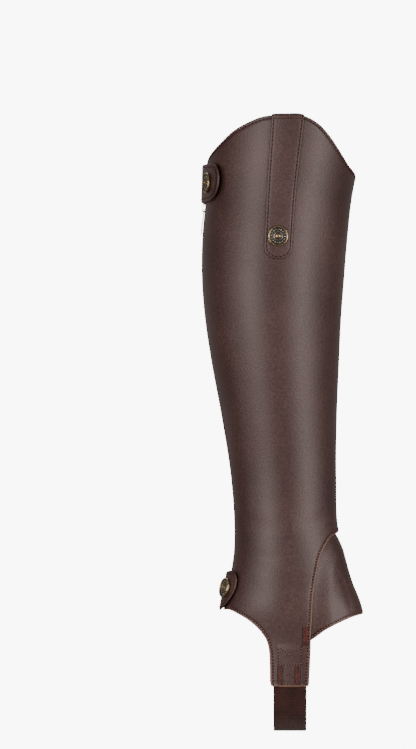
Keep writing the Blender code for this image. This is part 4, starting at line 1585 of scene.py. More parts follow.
@dataclass
class SuedePanel(Panel):
    """The suede on the inner side, which runs under the leather along the long seam."""

    name: str = "suede_panel"
    thick: float = SUEDE
    finish: Finish = SUEDE_FINISH
    slot: Slot = Slot.SUEDE
    rests_on: tuple[str, ...] = ("zip_tape_inner",)
    columns: int = 72
    rows: int = 150
    height: float = 330.0
    beside_zip: float = 14.0
    top_row: float = 3.2
    back_row: float = 2.2

    def build(self) -> None:
        """Lays the patch out between the line under the leather and the back edge."""
        form, pattern = self.form, self.pattern
        seam = pattern.seam.share(np.linspace(0, 1, 200))
        under = pattern.beside(seam, UNDERLAP)
        limit = pattern.back_edge(under[:, 1], Side.INNER)[:, 0] - self.beside_zip
        under = under[(under[:, 0] < limit) & (under[:, 1] < form.top(under[:, 0]) - 0.5)][::-1]
        head = np.array([[under[-1, 0] - 0.3, float(form.top(under[-1, 0] - 0.3))]])
        up = shares_up(self.height, self.rows, True, True)
        left = PlaneLine(np.concatenate([under[::4], head])).share(up)
        top = float(form.top(360 - form.corner))
        right = pattern.back_edge(SUEDE_FOOT + (top - SUEDE_FOOT) * up, Side.INNER)
        high = form.along_top(left[-1, 0], right[-1, 0])
        across = spread(apart(left, right), self.columns)
        place = coons(left, right, straight(left[0], right[0]), high, across, up)
        flat = place.reshape(-1, 2)
        away = distance_to(flat * TO_MM, seam[:-1] * TO_MM, seam[1:] * TO_MM)
        away = np.where(flat[:, 0] < pattern.seam.angle_at_height(flat[:, 1]), 0.0, away)
        lifts = self.tucked(away, STEP_FAR)
        flat_size = flat_size_of(form.laid(flat, lifts + self.thick).reshape(*place.shape[:2], 3))
        self.lay(flat, grid_faces(*place.shape[:2]), lifts, self.relief(flat), flat_size)

    def relief(self, place: Array) -> Array:
        """Works out the soft ridge beside the back edge, the slack of the suede and its folded top.

        The slack is 0.35 mm times sin(height / 23 + angle / 9) times sin(angle / 13 - height / 41).

        Args:
            place: Points of the plane.

        Returns:
            What is added to the outer face.
        """
        angle, height = place[:, 0], place[:, 1]
        ridge = bell(360 - angle + height * 0.01, 17.0, 3.4, 0.5)
        ridge *= smoothstep((height + 225) / 60) * (1 - smoothstep((height + 40) / 70))
        below = self.form.top(angle) - height
        slack = 0.35 * np.sin(height / 23 + angle / 9) * np.sin(angle / 13 - height / 41)
        fold = 0.25 * (1 - smoothstep((below - 2.4) / 0.9))
        return ridge + slack * smoothstep(below / 20) + fold

    def sew(self, threads: Threads) -> None:
        """Sews a row below the folded top, a row beside the zip and a bar at its foot."""
        top = self.form.along_top(self.form.seam_head + 4, 354)(np.linspace(0, 1, 160))
        threads.pale.row(self.line(top, self.thick + 0.05).inset(-self.top_row))
        back = self.pattern.back_edge(np.linspace(SUEDE_FOOT + 4, 80, 260), Side.INNER)
        threads.rust.row(self.line(back, self.thick).inset(self.back_row))
        bar = self.pattern.back_edge(np.linspace(-238, -224, 30), Side.INNER, ZIP_GAP + 5)
        threads.rust.zigzag(self.line(bar, self.thick - 0.2), 2.6)


@dataclass
class Vamp(Panel):
    """The leather over the instep, which runs under the main panel along both seams.

    Near the apex, where the two seams meet, it also lies deeper, so that it stays under both.
    """

    name: str = "vamp"
    rests_on: tuple[str, ...] = ("main_panel",)
    columns: int = 96
    rows: int = 52
    height: float = 100.0
    head: Pair = (171.0, APEX + 5.4)
    seam_foot: float = -297.0
    seam_head: float = 168.0
    level_from: float = 18.0
    apex_depth: float = 1.2
    apex_width: float = 14.0
    groove: float = 0.2
    creases: tuple[Crease, ...] = tuple(
        Crease(side, points, width, depth) for side in Side for points, width, depth in (
            (((50.4, -242.4), (54.4, -248.0), (62.4, -273.6)), 4.5, 0.35),
            (((46.0, -264.0), (50.0, -269.0), (55.0, -277.0)), 5.0, 0.25),
        )
    )

    def hem_and_side(self, seam: Array, up: Array) -> tuple[PlaneLine, Array]:
        """Lays out the hem and the side that lies under the outer seam.

        Args:
            seam: Points of the outer seam.
            up: Share up of each row.

        Returns:
            The hem, and the points of the side.
        """
        chosen = (seam[:, 1] > self.seam_foot) & (seam[:, 0] < self.seam_head)
        under = seam[chosen] - [UNDERLAP / ROUND, 0]
        hem = self.form.on_side(VAMP_HEM, Side.OUTER)
        foot = np.array([[under[-1, 0], hem[0, 1] - 2.4]])
        side = PlaneLine(np.concatenate([foot, under[::-8], [self.head]])).share(up)
        half = np.concatenate([foot, hem, [[180.0, VAMP_FRONT]]])
        return PlaneLine(np.concatenate([half, mirrored(half[::-1][1:])])), side

    def build(self) -> None:
        """Lays the patch out between the two lines under the leather, from the hem up."""
        form, front = self.form, self.pattern.front[Side.OUTER]
        seam = front.share(np.linspace(0, 1, 160))
        up = shares_up(self.height, self.rows, True, False)
        self.hem, left = self.hem_and_side(seam, up)
        right = mirrored(left)
        across = spread(apart(left, right), self.columns, False, False)
        place = coons(left, right, self.hem.share, straight(left[-1], right[-1]), across, up)
        flat = place.reshape(-1, 2)
        seen, height = folded(flat), flat[:, 1]
        outside = np.stack([seen, height], axis=1) * TO_MM
        away = distance_to(outside, seam[:-1] * TO_MM, seam[1:] * TO_MM)
        shown = (seen > front.angle_at_height(height)) & (height < APEX)
        lifts = self.tucked(np.where(shown, away, 0.0), self.level_from)
        lifts -= bell(flat[:, 0], 180.0, self.apex_width, self.apex_depth) * smoothstep((height + 217) / 8)
        grid = form.laid(flat, lifts + self.thick).reshape(*place.shape[:2], 3)
        from_hem = run_length(grid).ravel()
        relief = -bell(from_hem, GROOVE_AT, GROOVE_WIDTH, self.groove)
        for crease in self.creases:
            relief -= crease.sink(form, flat) * smoothstep(from_hem / 6)
        self.lay(flat, grid_faces(*place.shape[:2]), lifts, relief, flat_size_of(grid))

    def sew(self, threads: Threads) -> None:
        """Sews a row along the hem between the seams."""
        line = self.line(self.hem.share(np.linspace(0.05, 0.95, 260)), self.thick)
        threads.pale.row(line.inset(ROW_INSET))


@dataclass
class Lining(Panel):
    """The black cloth inside the smooth leather, down to the lower calf."""

    name: str = "lining"
    thick: float = FABRIC
    lift: float = -GAP - FABRIC
    finish: Finish = LINING_FINISH
    slot: Slot = Slot.LINING
    rests_on: tuple[str, ...] = ("main_panel",)
    back_top: float = 76.0
    front_top: float = 58.0
    below_facing: float = BAND + 0.5
    zigzag_x: float = 13.6
    zigzag_ends: Pair = (108.0, 84.0)
    row_xs: Pair = (2.0, 22.0)
    row_ends: Pair = (112.0, 20.0)

    def build(self) -> None:
        """Lays the patch out below the facing."""
        form, pattern = self.form, self.pattern
        up = spread(270.0, 90)
        heights = LINING_FOOT + (self.back_top - LINING_FOOT) * up
        back = pattern.back_edge(heights, Side.OUTER, LINING_BACK)
        seam = pattern.beside(pattern.seam.share(np.linspace(0, 1, 200)), UNDERLAP + 1.0)
        kept = seam[(seam[:, 1] > LINING_FOOT + 4) & (seam[:, 1] < self.front_top)]
        corner = seam[0, 0] - 1.0
        low_end = [[kept[-1, 0] + 2.0, LINING_FOOT]]
        high_end = [[corner, float(form.below_top(corner, self.below_facing))]]
        front = PlaneLine(np.concatenate([low_end, kept[::-6], high_end])).share(up)
        high = form.along_top(back[-1, 0], front[-1, 0], self.below_facing)
        back[-1] = high(0.0)
        across = np.repeat(spread(200.0, 80)[None], len(up), axis=0)
        place = coons(back, front, straight(back[0], front[0]), high, across, up)
        flat_size = flat_size_of(form.laid(place, self.lift))
        self.lay(place.reshape(-1, 2), grid_faces(*place.shape[:2]), flat_size=flat_size)

    def seen_inside(self, x: Array, heights: Array) -> SurfaceLine:
        """A line on the inside of the cloth, by where it would be seen from the outer side."""
        places = self.form.on_side(np.stack([x, heights], axis=1), Side.OUTER)
        return self.line(places, self.lift - 0.1).turned_over()

    def sew(self, threads: Threads) -> None:
        """Sews the zigzag seam below the strap, which leans, and two straight rows beside it."""
        heights = np.linspace(*self.zigzag_ends, 40)
        x = self.zigzag_x + (heights - self.zigzag_ends[1]) * 0.2
        threads.rust.zigzag(self.seen_inside(x, heights), 2.8, 1.3, 0.5)
        heights = np.linspace(*self.row_ends, 90)
        for x in self.row_xs:
            threads.rust.row(self.seen_inside(np.full(len(heights), x), heights), LINING_ROW)


@dataclass
class TopFacing(Panel):
    """The narrow leather band inside the top edge."""

    name: str = "top_facing"
    thick: float = FACING
    lift: float = -GAP - FACING
    finish: Finish = TURNED_FINISH
    columns: int = 200
    drops: tuple[float, ...] = (0.0, 0.5, 1.1, 2.4, 4.1, 5.4, 6.0, BAND)
    row_inset: float = 2.0

    def build(self) -> None:
        """Makes a ribbon from the top edge down to the depth of the band."""
        form = self.form
        end = form.seam_head - (UNDERLAP + 1.5) / ROUND
        angle = form.corner + (end - form.corner) * spread(250.0, self.columns)
        share = 1 - np.array(self.drops)[::-1, None] / BAND
        top, low = form.top(angle), form.below_top(angle, BAND)
        height = low + (top - low) * share
        place = np.stack([np.broadcast_to(angle, height.shape), height], axis=-1)
        self.lay(place.reshape(-1, 2), grid_faces(*height.shape))

    def sew(self, threads: Threads) -> None:
        """Sews the inner side of the row along the top edge."""
        places = self.form.along_top(8.0, self.form.seam_head - 12)(np.linspace(0, 1, 220))
        line = self.line(places, self.lift).turned_over()
        threads.dark.row(line.inset(self.row_inset), FACING_ROW)


# Narrow pieces


@dataclass
class Ribbon:
    """A narrow piece whose two faces are grids of points."""

    form: LegForm

    @staticmethod
    def close(
        name: str, outer: Array, inner: Array, finish: Finish, slot: Slot, flat_size: Pair,
        held: Held, rests_on: Sequence[str],
    ) -> None:
        """Makes the wall between the two faces and dresses it.

        Args:
            name: The solid that it stands for.
            outer: Points of the outer face, rows by columns.
            inner: Points of the inner face.
            finish: Its finish.
            slot: The record's slot for it. Not used.
            flat_size: Width and length of the flat cut in metres. Not used.
            held: What keeps it in its place. Not used.
            rests_on: Names of the solids below it. Not used.
        """
        row, column = outer.shape[0] // 2, outer.shape[1] // 2
        middle = outer[row, column]
        around = np.cross(outer[row, column + 1] - middle, outer[row + 1, column] - middle)
        faces = grid_faces(*outer.shape[:2], float(around @ (middle - inner[row, column])) < 0)
        flat = np.stack([run_length(outer, 1), run_length(outer)], axis=-1).reshape(-1, 2)
        points = outer.reshape(-1, 3)
        made = wall(points, inner.reshape(-1, 3), faces, flat, 0.38).make(piece_name(name))
        settle(made, [finish], [name])

    @staticmethod
    def grooved(outer: Array, inner: Array, distance: float, depth: float) -> Array:
        """Sinks the outer face along a line beside the rim, and a little at the rim itself.

        Args:
            outer: Points of the outer face.
            inner: Points of the inner face.
            distance: Distance of the line from the rim.
            depth: Depth of the groove.

        Returns:
            The outer face's new points.
        """
        near = from_rim(outer.reshape(-1, 3), grid_faces(*outer.shape[:2])).reshape(outer.shape[:2])
        sink = bell(near, distance, 0.7, depth) + bell(near, 0.0, 0.7, 0.25)
        return outer - unit(outer - inner) * sink[..., None]


@dataclass
class TopStrap(Ribbon):
    """The decorative strap: up the outer side, over the top edge and a little way down inside.

    A row of the table is a height and the x of the back and the front edge there.
    """

    rows: tuple[tuple[float, float, float], ...] = (
        (18.0, -8.0, 13.7), (57.6, -6.1, 16.4), (124.0, -1.8, 23.9),
    )
    end: float = 9.4
    inside: float = 7.4
    rise: float = 0.9
    columns: int = 24
    outside_rows: int = 64
    inside_rows: int = 12
    fold_rows: int = 11
    row_inset: float = 1.7
    width: float = 0.026

    def side_edges(self, height: Array) -> tuple[Array, Array]:
        """The x of the back and of the front edge at a height."""
        at, back, front = zip(*self.rows)
        return Smooth(at, back)(height), Smooth(at, front)(height)

    def covers(self, spots: Array) -> Array:
        """Whether points of the outer side lie under the strap."""
        back, front = self.side_edges(spots[:, 2])
        return (spots[:, 0] > back - 0.8) & (spots[:, 0] < front + 0.8) & (spots[:, 1] < 0)

    def angles(self, height: Array, across: Array) -> Array:
        """Angles of points at a height, from -1 at the back edge to 1 at the front edge."""
        back, front = self.side_edges(height)
        return self.form.angle_at((back + front) / 2 + (front - back) / 2 * across, height)

    def face(self, lift: float, rise: float) -> Array:
        """Lays one face out. Each row is at one share of the way from the round end to the top.

        Over the top edge the points go round a half circle between the two sides of the leather.

        Args:
            lift: Lift of the face on the outer side.
            rise: How much higher than its half circle the fold stands.

        Returns:
            Points, rows by columns.
        """
        across = spread(22.0, self.columns) * 2 - 1
        low = self.rows[0][0] - self.end * np.sqrt(np.clip(1 - across * across, 0, 1))
        head = self.form.top(self.angles(np.full(across.shape, self.rows[-1][0]), across))
        over = self.angles(head, across)
        middle = (LEATHER - FACING - GAP) / 2
        radius = lift - middle
        rows = []
        for part in spread(110.0, self.outside_rows, True, False):
            height = low + (head - low) * part
            rows.append(self.form.lifted(self.angles(height, across), height, lift))
        for turn in np.linspace(0, math.pi, self.fold_rows + 2)[1:-1]:
            crown = self.form.lifted(over, head, middle + radius * math.cos(turn))
            rows.append(crown + np.array([0, 0, rise * math.sin(turn)]))
        for depth in self.inside * spread(self.inside, self.inside_rows, False, True):
            rows.append(self.form.lifted(over, head - depth, middle - radius))
        return np.array(rows)

    def build(self) -> None:
        """Makes the strap and keeps its two faces for the sewing."""
        near = LEATHER + GAP
        self.inner = self.face(near, self.rise)
        self.plain = self.face(near + STRAP, self.rise + STRAP)
        outer = self.grooved(self.plain, self.inner, self.row_inset, 0.2)
        flat_size = (self.width, round(line_length(outer, 0), 3))
        self.close(
            "strap", outer, self.inner, TURNED_FINISH, Slot.LEATHER, flat_size, Held.LAID, ["main_panel"]
        )

    def sew(self, threads: Threads) -> None:
        """Sews rows along both sides and round the end, and one across below the top edge."""
        outer = self.plain[:self.outside_rows]
        normal = unit(outer - self.inner[:self.outside_rows])
        path, normals = (
            np.concatenate([grid[::-1, 0], grid[0, 1:], grid[1:, -1]]) for grid in (outer, normal)
        )
        threads.rust.row(SurfaceLine(path, normals).inset(self.row_inset), EDGE_ROW)
        threads.rust.row(SurfaceLine(outer[-2], normal[-2]), EDGE_ROW)


@dataclass(frozen=True)
class TabRow:
    """A tab at one angle: lift of its inner face, middle height and half height."""

    angle: float
    lift: float
    middle: float
    half: float


TOP_ROWS = (
    TabRow(-47, 1.5, 68.8, 15.0), TabRow(-30, 1.5, 69.0, 15.0), TabRow(-15, 2.6, 69.1, 15.0),
    TabRow(-4, 3.3, 69.2, 14.9), TabRow(22, 3.4, 69.8, 14.6), TabRow(30, 4.3, 70.4, 14.2),
    TabRow(40, 6.3, 71.5, 13.4),
)
BOTTOM_ROWS = (
    TabRow(-14, -1.7, -259.6, 8.0), TabRow(-6.9, -1.7, -259.2, 8.6), TabRow(0, 1.6, -258.6, 12.5),
    TabRow(6, 4.0, -258.2, 14.8), TabRow(11, 4.7, -257.6, 14.9), TabRow(17, 4.6, -256.6, 14.6),
    TabRow(24, 4.1, -254.2, 14.0), TabRow(32, 3.2, -251.5, 13.0),
)


@dataclass
class ClosingTab(Ribbon):
    """A leather tab that wraps round the back and closes with a snap."""

    name: str = "top_tab"
    thick: float = TOP_TAB
    rows: tuple[TabRow, ...] = TOP_ROWS
    round_start: float = 7.0
    round_end: float = 13.0
    flat_size: Pair = (0.030, 0.094)
    cross_rows: tuple[float, ...] = (-37.0, -34.0)
    roundness: float = 2.4
    columns: int = 90
    points_across: int = 30
    row_inset: float = 2.2
    cap_reach: float = 4.1

    def __post_init__(self) -> None:
        """Prepares the curves of the table, and the angles of the tab's columns."""
        at = [row.angle for row in self.rows]
        self.lift = Smooth(at, [row.lift for row in self.rows])
        self.middle = Smooth(at, [row.middle for row in self.rows])
        self.half = Smooth(at, [row.half for row in self.rows])
        self.angles = at[0] + (at[-1] - at[0]) * spread(at[-1] - at[0], self.columns)

    def face(self, over: float) -> Array:
        """Lays a face out, with its ends rounded.

        The half height is its own times (1 - away^2.4)^(1 / 2.4), where away goes from 0 inside to
        nearly 1 at the end of the tab.

        Args:
            over: How far the face lies over the inner one.

        Returns:
            Points, angles by shares across.
        """
        angle, half = self.angles, self.half(self.angles)
        for end, length, way in ((angle[0], self.round_start, 1), (angle[-1], self.round_end, -1)):
            if length:
                away = np.clip(1 - (angle - end) * way / length, 0, 0.985)
                half = half * np.power(1 - away**self.roundness, 1 / self.roundness)
        across = spread(half * 2, self.points_across) * 2 - 1
        height = self.middle(angle)[:, None] + half[:, None] * across
        angle = np.repeat(angle[:, None], across.shape[1], axis=1)
        return self.form.lifted(angle, height, self.lift(angle) + over)

    def build(self) -> None:
        """Makes the tab and keeps its two faces for the sewing."""
        self.inner = self.face(0.0)
        self.plain = self.face(self.thick)
        outer = self.grooved(self.plain, self.inner, self.row_inset, 0.22)
        self.close(
            self.name, outer, self.inner, TURNED_FINISH, Slot.LEATHER, self.flat_size, Held.LAID,
            ["main_panel", "suede_panel"],
        )

    def cap_frame(self, angle: float, height: float, over: float) -> Matrix:
        """Finds where a cap sits, level with the tab as wide as half the cap.

        Args:
            angle: Angle of its middle.
            height: Height of its middle.
            over: How far it sits over the tab's inner face.

        Returns:
            Its frame, in millimetres.
        """

        def spot(turn: float, level: float) -> Array:
            """A point of the tab at the cap's lift."""
            return self.form.lifted(turn, level, self.lift(turn) + over)

        turn = self.cap_reach / ROUND / 2
        around = spot(angle + turn, height) - spot(angle - turn, height)
        up = spot(angle, height + self.cap_reach) - spot(angle, height - self.cap_reach)
        return frame_on(spot(angle, height), around, up)

    def sew(self, threads: Threads) -> None:
        """Sews one row all round inside the edge, and the rows across."""
        outer = self.plain
        normal = unit(outer - self.inner)
        ring, normals = (
            np.concatenate([grid[:, 0], grid[-1, 1:], grid[-2::-1, -1], grid[0, -2:0:-1]])
            for grid in (outer, normal)
        )
        middle = outer.reshape(-1, 3).mean(0)
        rows = [SurfaceLine(ring, normals).inset(way) for way in (self.row_inset, -self.row_inset)]
        inside = min(rows, key=lambda row: np.linalg.norm(row.points - middle, axis=1).mean())
        threads.rust.row(inside, TAB_STITCH)
        for angle in self.cross_rows:
            row = int(np.argmin(np.abs(self.angles - angle)))
            threads.rust.row(SurfaceLine(outer[row, 5:-5], normal[row, 5:-5]), TAB_STITCH)


@dataclass
class StirrupElastic(Ribbon):
    """The ribbed elastic under the foot, from inside one stirrup tab to inside the other.

    Its line goes straight down from the tab, then round a quarter circle to the middle. A rib stands
    up by 0.12 mm times the cosine of the way along over the rib's pitch. Inside a tab the band bows
    as the leg does, and the bow eases to nothing over 12 mm below it.
    """

    back: float = 0.4
    front: float = 25.6
    head: float = -301.0
    foot: float = -369.8
    radius: float = 21.0
    ease: float = 12.0
    pitch: float = 1.25
    points_a_rib: int = 5
    rib: float = 0.12
    smoothing: int = 7

    def middle_line(self) -> tuple[Array, Array]:
        """Finds the line of the band's middle in the plane of y and z.

        Returns:
            Its points, five for each rib, and the distance along it.
        """
        form, inside = self.form, -GAP - ELASTIC / 2
        middle = (self.back + self.front) / 2
        half = abs(float(form.lifted(form.angle_at(middle, TAB_FOOT), TAB_FOOT, inside)[1]))
        heights = np.linspace(self.head, TAB_FOOT - 1.0, 12)
        held = np.abs(form.lifted(form.angle_at(middle, heights), heights, inside)[:, 1])
        corner = self.foot + ELASTIC / 2 + self.radius
        turn = np.linspace(0, math.pi / 2, 40)
        y = np.concatenate([held, half - self.radius * (1 - np.cos(turn))])
        z = np.concatenate([heights, corner - self.radius * np.sin(turn)])
        line = np.stack([np.concatenate([-y, y[::-1]]), np.concatenate([z, z[::-1]])], axis=1)
        along = run_length(line)
        spots = np.linspace(0, along[-1], int(along[-1] / self.pitch * self.points_a_rib))
        return at_lengths(line, along, spots), spots

    def build(self) -> None:
        """Sweeps the band's section along its line, first the face towards the leg."""
        form, pad = self.form, self.smoothing // 2
        line, spots = self.middle_line()
        mean = np.ones(self.smoothing) / self.smoothing
        runs = [np.convolve(np.pad(run, pad, "edge"), mean, "valid") for run in np.gradient(line, axis=0).T]
        run = unit(np.stack(runs, axis=1))
        side = np.stack([run[:, 1], -run[:, 0]], axis=1)
        across = self.back + (self.front - self.back) * spread(self.front - self.back, 24)
        ribs = self.rib * np.cos(math.tau * spots / self.pitch)
        share = np.clip((line[:, 1] - TAB_FOOT) / self.ease + 1, 0, 1)[:, None]
        faces = []
        for away in (-1, 1):
            place = line + side * (away * (ELASTIC / 2 - self.rib + ribs))[:, None]
            level = np.maximum(place[:, 1], TAB_FOOT)[:, None]
            curve = np.abs(form.skin(form.angle_at(across[None], level), level)[..., 1])
            bow = (curve - curve.max(1, keepdims=True)) * share * np.sign(place[:, :1])
            rows = np.broadcast_arrays(across[None], place[:, :1] + bow, place[:, 1:])
            faces.append(np.stack(rows, axis=-1))
        flat_size = (round((self.front - self.back) * MM, 4), round(line_length(faces[0], 0), 3))
        self.close(
            "elastic", *faces, ELASTIC_FINISH, Slot.ELASTIC, flat_size, Held.STRETCHED, ["main_panel"]
        )


@dataclass
class BackZip(Ribbon):
    """The zip at the back: two cloth tapes, metal teeth, the slider and its pull.

    Teeth are single blocks, turned from side to side. Above the slider the two rows stand apart.
    """

    foot: float = -266.0
    head: float = 77.2
    slider: float = 51.5
    half: float = 2.5
    tape: float = 11.5
    tooth_pitch: float = 2.4
    tooth: tuple[float, float, float] = (2.9, 1.008, 1.5)
    tooth_bevel: float = 0.18
    closed_shift: float = 0.55
    open_shift: float = 1.5
    metal_bevel: float = 0.18

    def dip(self, height: Array) -> Array:
        """How far the zip sinks to let the bottom tab pass over it."""
        return 1.7 * smoothstep((-222.0 - height) / 14.0)

    def tapes(self) -> None:
        """Makes the two tapes, each a flat strip beside the teeth."""
        heights = np.linspace(self.foot, self.head, 120)[:, None]
        for name, way in (("zip_tape_outer", 1), ("zip_tape_inner", -1)):
            across = (self.half + GAP + self.tape * spread(self.tape, 16))[None] * way
            angle = self.form.beside_back(across, heights)
            height = np.repeat(heights, across.shape[1], axis=1)
            outer, inner = (
                self.form.lifted(angle, height, -GAP - deep - self.dip(height)) for deep in (0, TAPE)
            )
            size = (self.tape * MM, round(line_length(outer, 0), 3))
            self.close(name, outer, inner, TAPE_FINISH, Slot.ZIP_CLOTH, size, Held.HUNG, ["main_panel"])

    def tooth_block(self) -> tuple[Array, Array]:
        """Points and triangles of one tooth of size one, its edges bevelled."""
        block = bmesh.new()
        bmesh.ops.create_cube(block, size=1.0)
        bmesh.ops.bevel(block, geom=block.edges[:], offset=self.tooth_bevel, segments=1, affect="EDGES")
        bmesh.ops.triangulate(block, faces=block.faces)
        points = np.array([tuple(vert.co) for vert in block.verts])
        faces = np.array([[vert.index for vert in face.verts] for face in block.faces])
        block.free()
        return points, faces

    def teeth(self) -> None:
        """Puts a tooth at each place, with its axes along the tape, up and out."""
        closed = np.arange(self.foot + 1.2, self.slider - 4.5, self.tooth_pitch / 2)
        apart_rows = np.arange(self.slider + 7.5, self.head - 2, self.tooth_pitch)
        heights = np.concatenate([closed, apart_rows, apart_rows])
        ones = np.ones(len(apart_rows))
        way = np.concatenate([np.where(np.arange(len(closed)) % 2, 1.0, -1.0), ones, -ones])
        shift = np.repeat([self.closed_shift, self.open_shift], [len(closed), 2 * len(ones)])
        angle = self.form.beside_back(way * shift, heights)
        out = self.form.outward(angle, heights)
        up = unit(self.form.skin(angle, heights + 1) - self.form.skin(angle, heights - 1))
        axes = np.stack([np.cross(up, out), up, out], axis=1)
        shape, faces = self.tooth_block()
        centre = self.form.lifted(angle, heights, -0.5 - self.dip(heights))
        points = (centre[:, None] + (shape * self.tooth) @ axes).reshape(-1, 3)
        faces = repeated(faces, len(shape), len(heights))
        made = Mesh(points, [faces]).make("zip_teeth")
        made.data.polygons.foreach_set("use_smooth", np.zeros(len(faces), dtype=bool))
        settle(made, [ZIP_FINISH], ["zip_chain"])

    def metal(self, solid: str, body: Body) -> None:
        """Makes the slider or the pull from the solid's own form, with its corners rounded.

        Args:
            solid: Name of the solid.
            body: The body that it rides on.
        """
        mesh = frame["nodes"][solid].data.copy()
        shape = bmesh.new()
        shape.from_mesh(mesh)
        bmesh.ops.remove_doubles(shape, verts=shape.verts, dist=1e-6)
        bmesh.ops.dissolve_limit(shape, angle_limit=0.03, verts=shape.verts, edges=shape.edges)
        shape.to_mesh(mesh)
        shape.free()
        mesh.name = piece_name(solid)
        mesh.materials.clear()
        made = bpy.data.objects.new(piece_name(solid), mesh)
        bpy.context.scene.collection.objects.link(made)
        mesh.shade_smooth()
        rounding = made.modifiers.new("rounding", "BEVEL")
        rounding.width = self.metal_bevel * MM
        rounding.segments = 3
        rounding.limit_method = "ANGLE"
        rounding.harden_normals = True
        settle(made, [ZIP_FINISH], [solid], body)

    def build(self) -> None:
        """Makes all the pieces of the zip."""
        self.tapes()
        self.teeth()
        self.metal("zip_slider", Body.CHAP)
        self.metal("zip_pull", Body.PULL)


# Snaps


def frame_on(place: Array, around: Array, up: Array) -> Matrix:
    """Makes a frame on a surface, with its axes across, along and out.

    Args:
        place: Its origin.
        around: A direction along the surface, round the leg.
        up: A direction along the surface, upwards.

    Returns:
        The frame.
    """
    out = Vector(np.cross(around, up)).normalized()
    across = Vector(up).cross(out).normalized()
    turn = Matrix((across, out.cross(across), out)).transposed().to_4x4()
    return Matrix.Translation(Vector(place)) @ turn


def lathe(profile: Array | Sequence[Pair], sides: int, flip: bool = False) -> tuple[Array, Array]:
    """Turns a profile round the axis. Its points are (radius cos turn, radius sin turn, height).

    Args:
        profile: Rows of radius and height.
        sides: Number of points in a ring.
        flip: Whether the faces are turned round.

    Returns:
        The points, ring by ring, and the faces.
    """
    profile = np.asarray(profile, dtype=float)
    turn = np.arange(sides) * math.tau / sides
    height = np.repeat(profile[:, 1:], sides, axis=1)
    points = np.stack([profile[:, :1] * np.cos(turn), profile[:, :1] * np.sin(turn), height], axis=-1)
    return points.reshape(-1, 3), ring_faces(len(profile), sides, flip)


@dataclass
class SnapCap:
    """A turned cap: a rolled rim, a dark recess with a ring of small beads, and a low dome.

    Each stretch of the profile has rows of radius and height, in the cap's own frame. A bead is a
    ball flattened to half its height and sunk to its middle.
    """

    name: str
    frame: Matrix
    rim: Pairs = (
        (8.2, 0.0), (8.25, 0.5), (8.2, 1.1), (8.05, 1.55), (7.75, 1.85), (7.4, 1.9), (7.1, 1.75), (6.9, 1.35),
    )
    recess: Pairs = ((6.9, 1.35), (6.75, 1.2), (6.0, 1.14), (4.6, 1.14), (3.6, 1.2))
    collar: Pairs = ((3.6, 1.2), (3.5, 1.4), (3.3, 1.46), (3.1, 1.4), (3.0, 1.2))
    floor: Pairs = ((3.0, 1.2), (2.4, 1.15), (1.9, 1.2))
    dome: Pairs = (
        (1.9, 1.2), (1.75, 1.4), (1.4, 1.6), (0.9, 1.74), (0.45, 1.8), (0.0, 1.82),
    )
    foot: Pairs = ((0.0, 0.0), (8.2, 0.0))
    sides: int = 72
    beads: int = 16
    bead: float = 0.62
    bead_rings: int = 9
    bead_sides: int = 12
    bead_circle: float = 5.3
    bead_height: float = 1.12
    merge: float = 3e-6

    def ring_of_beads(self) -> tuple[Array, Array]:
        """Points and faces of the ring of beads."""
        rise = np.linspace(-math.pi / 2, math.pi / 2, self.bead_rings)
        profile = np.stack([self.bead * np.cos(rise), self.bead * np.sin(rise) * 0.5], axis=1)
        ball, faces = lathe(profile, self.bead_sides)
        centres, _ = lathe([(self.bead_circle, self.bead_height)], self.beads)
        return (centres[:, None] + ball).reshape(-1, 3), repeated(faces, len(ball), self.beads)

    def build(self) -> None:
        """Joins the stretches, the beads and the foot in one mesh with two finishes."""
        bright, dark = 0, 1
        stretches = (self.rim, self.recess, self.collar, self.floor, self.dome)
        parts = [lathe(profile, self.sides) for profile in stretches]
        parts += [self.ring_of_beads(), lathe(self.foot, self.sides)]
        starts = np.cumsum([0] + [len(points) for points, _ in parts])
        faces = [rows + start for (_, rows), start in zip(parts, starts)]
        turn = np.array(self.frame)
        world = np.concatenate([points for points, _ in parts]) @ turn[:3, :3].T + turn[:3, 3]
        paint = [bright, dark, bright, dark, bright, bright, bright]
        made = Mesh(world, faces, paint=paint).make(piece_name(self.name))
        shape = bmesh.new()
        shape.from_mesh(made.data)
        bmesh.ops.remove_doubles(shape, verts=shape.verts, dist=self.merge)
        bmesh.ops.recalc_face_normals(shape, faces=shape.faces)
        shape.to_mesh(made.data)
        shape.free()
        settle(made, [BRASS_FINISH, PATINA_FINISH], [self.name])


@dataclass
class Snaps:
    """The three caps, each at its place, and the studs below two of them."""

    form: LegForm
    top_tab: ClosingTab
    bottom_tab: ClosingTab
    strap_place: Pair = (2.5, 26.8)
    top_place: Pair = (22.0, 69.8)
    bottom_place: Pair = (17.0, -255.8)

    def strap_frame(self) -> Matrix:
        """The frame of the cap on the strap, which is placed by x and height."""
        form = self.form
        height = self.strap_place[1]
        angle = float(form.angle_at(*self.strap_place))
        around = form.skin(angle + 0.5, height) - form.skin(angle - 0.5, height)
        up = form.skin(angle, height + 1) - form.skin(angle, height - 1)
        return frame_on(form.lifted(angle, height, LEATHER + GAP + STRAP + GAP), around, up)

    def build(self) -> None:
        """Makes the caps and dresses the studs, which keep the solids' own form."""
        SnapCap("strap_snap", self.strap_frame()).build()
        SnapCap("top_snap", self.top_tab.cap_frame(*self.top_place, TOP_TAB + GAP)).build()
        SnapCap("bottom_snap", self.bottom_tab.cap_frame(*self.bottom_place, BOTTOM_TAB + GAP)).build()
        for name in ("top_stud", "bottom_stud"):
            materials = frame["nodes"][name].data.materials
            materials.clear()
            materials.append(BRASS_FINISH.material())


# Studio


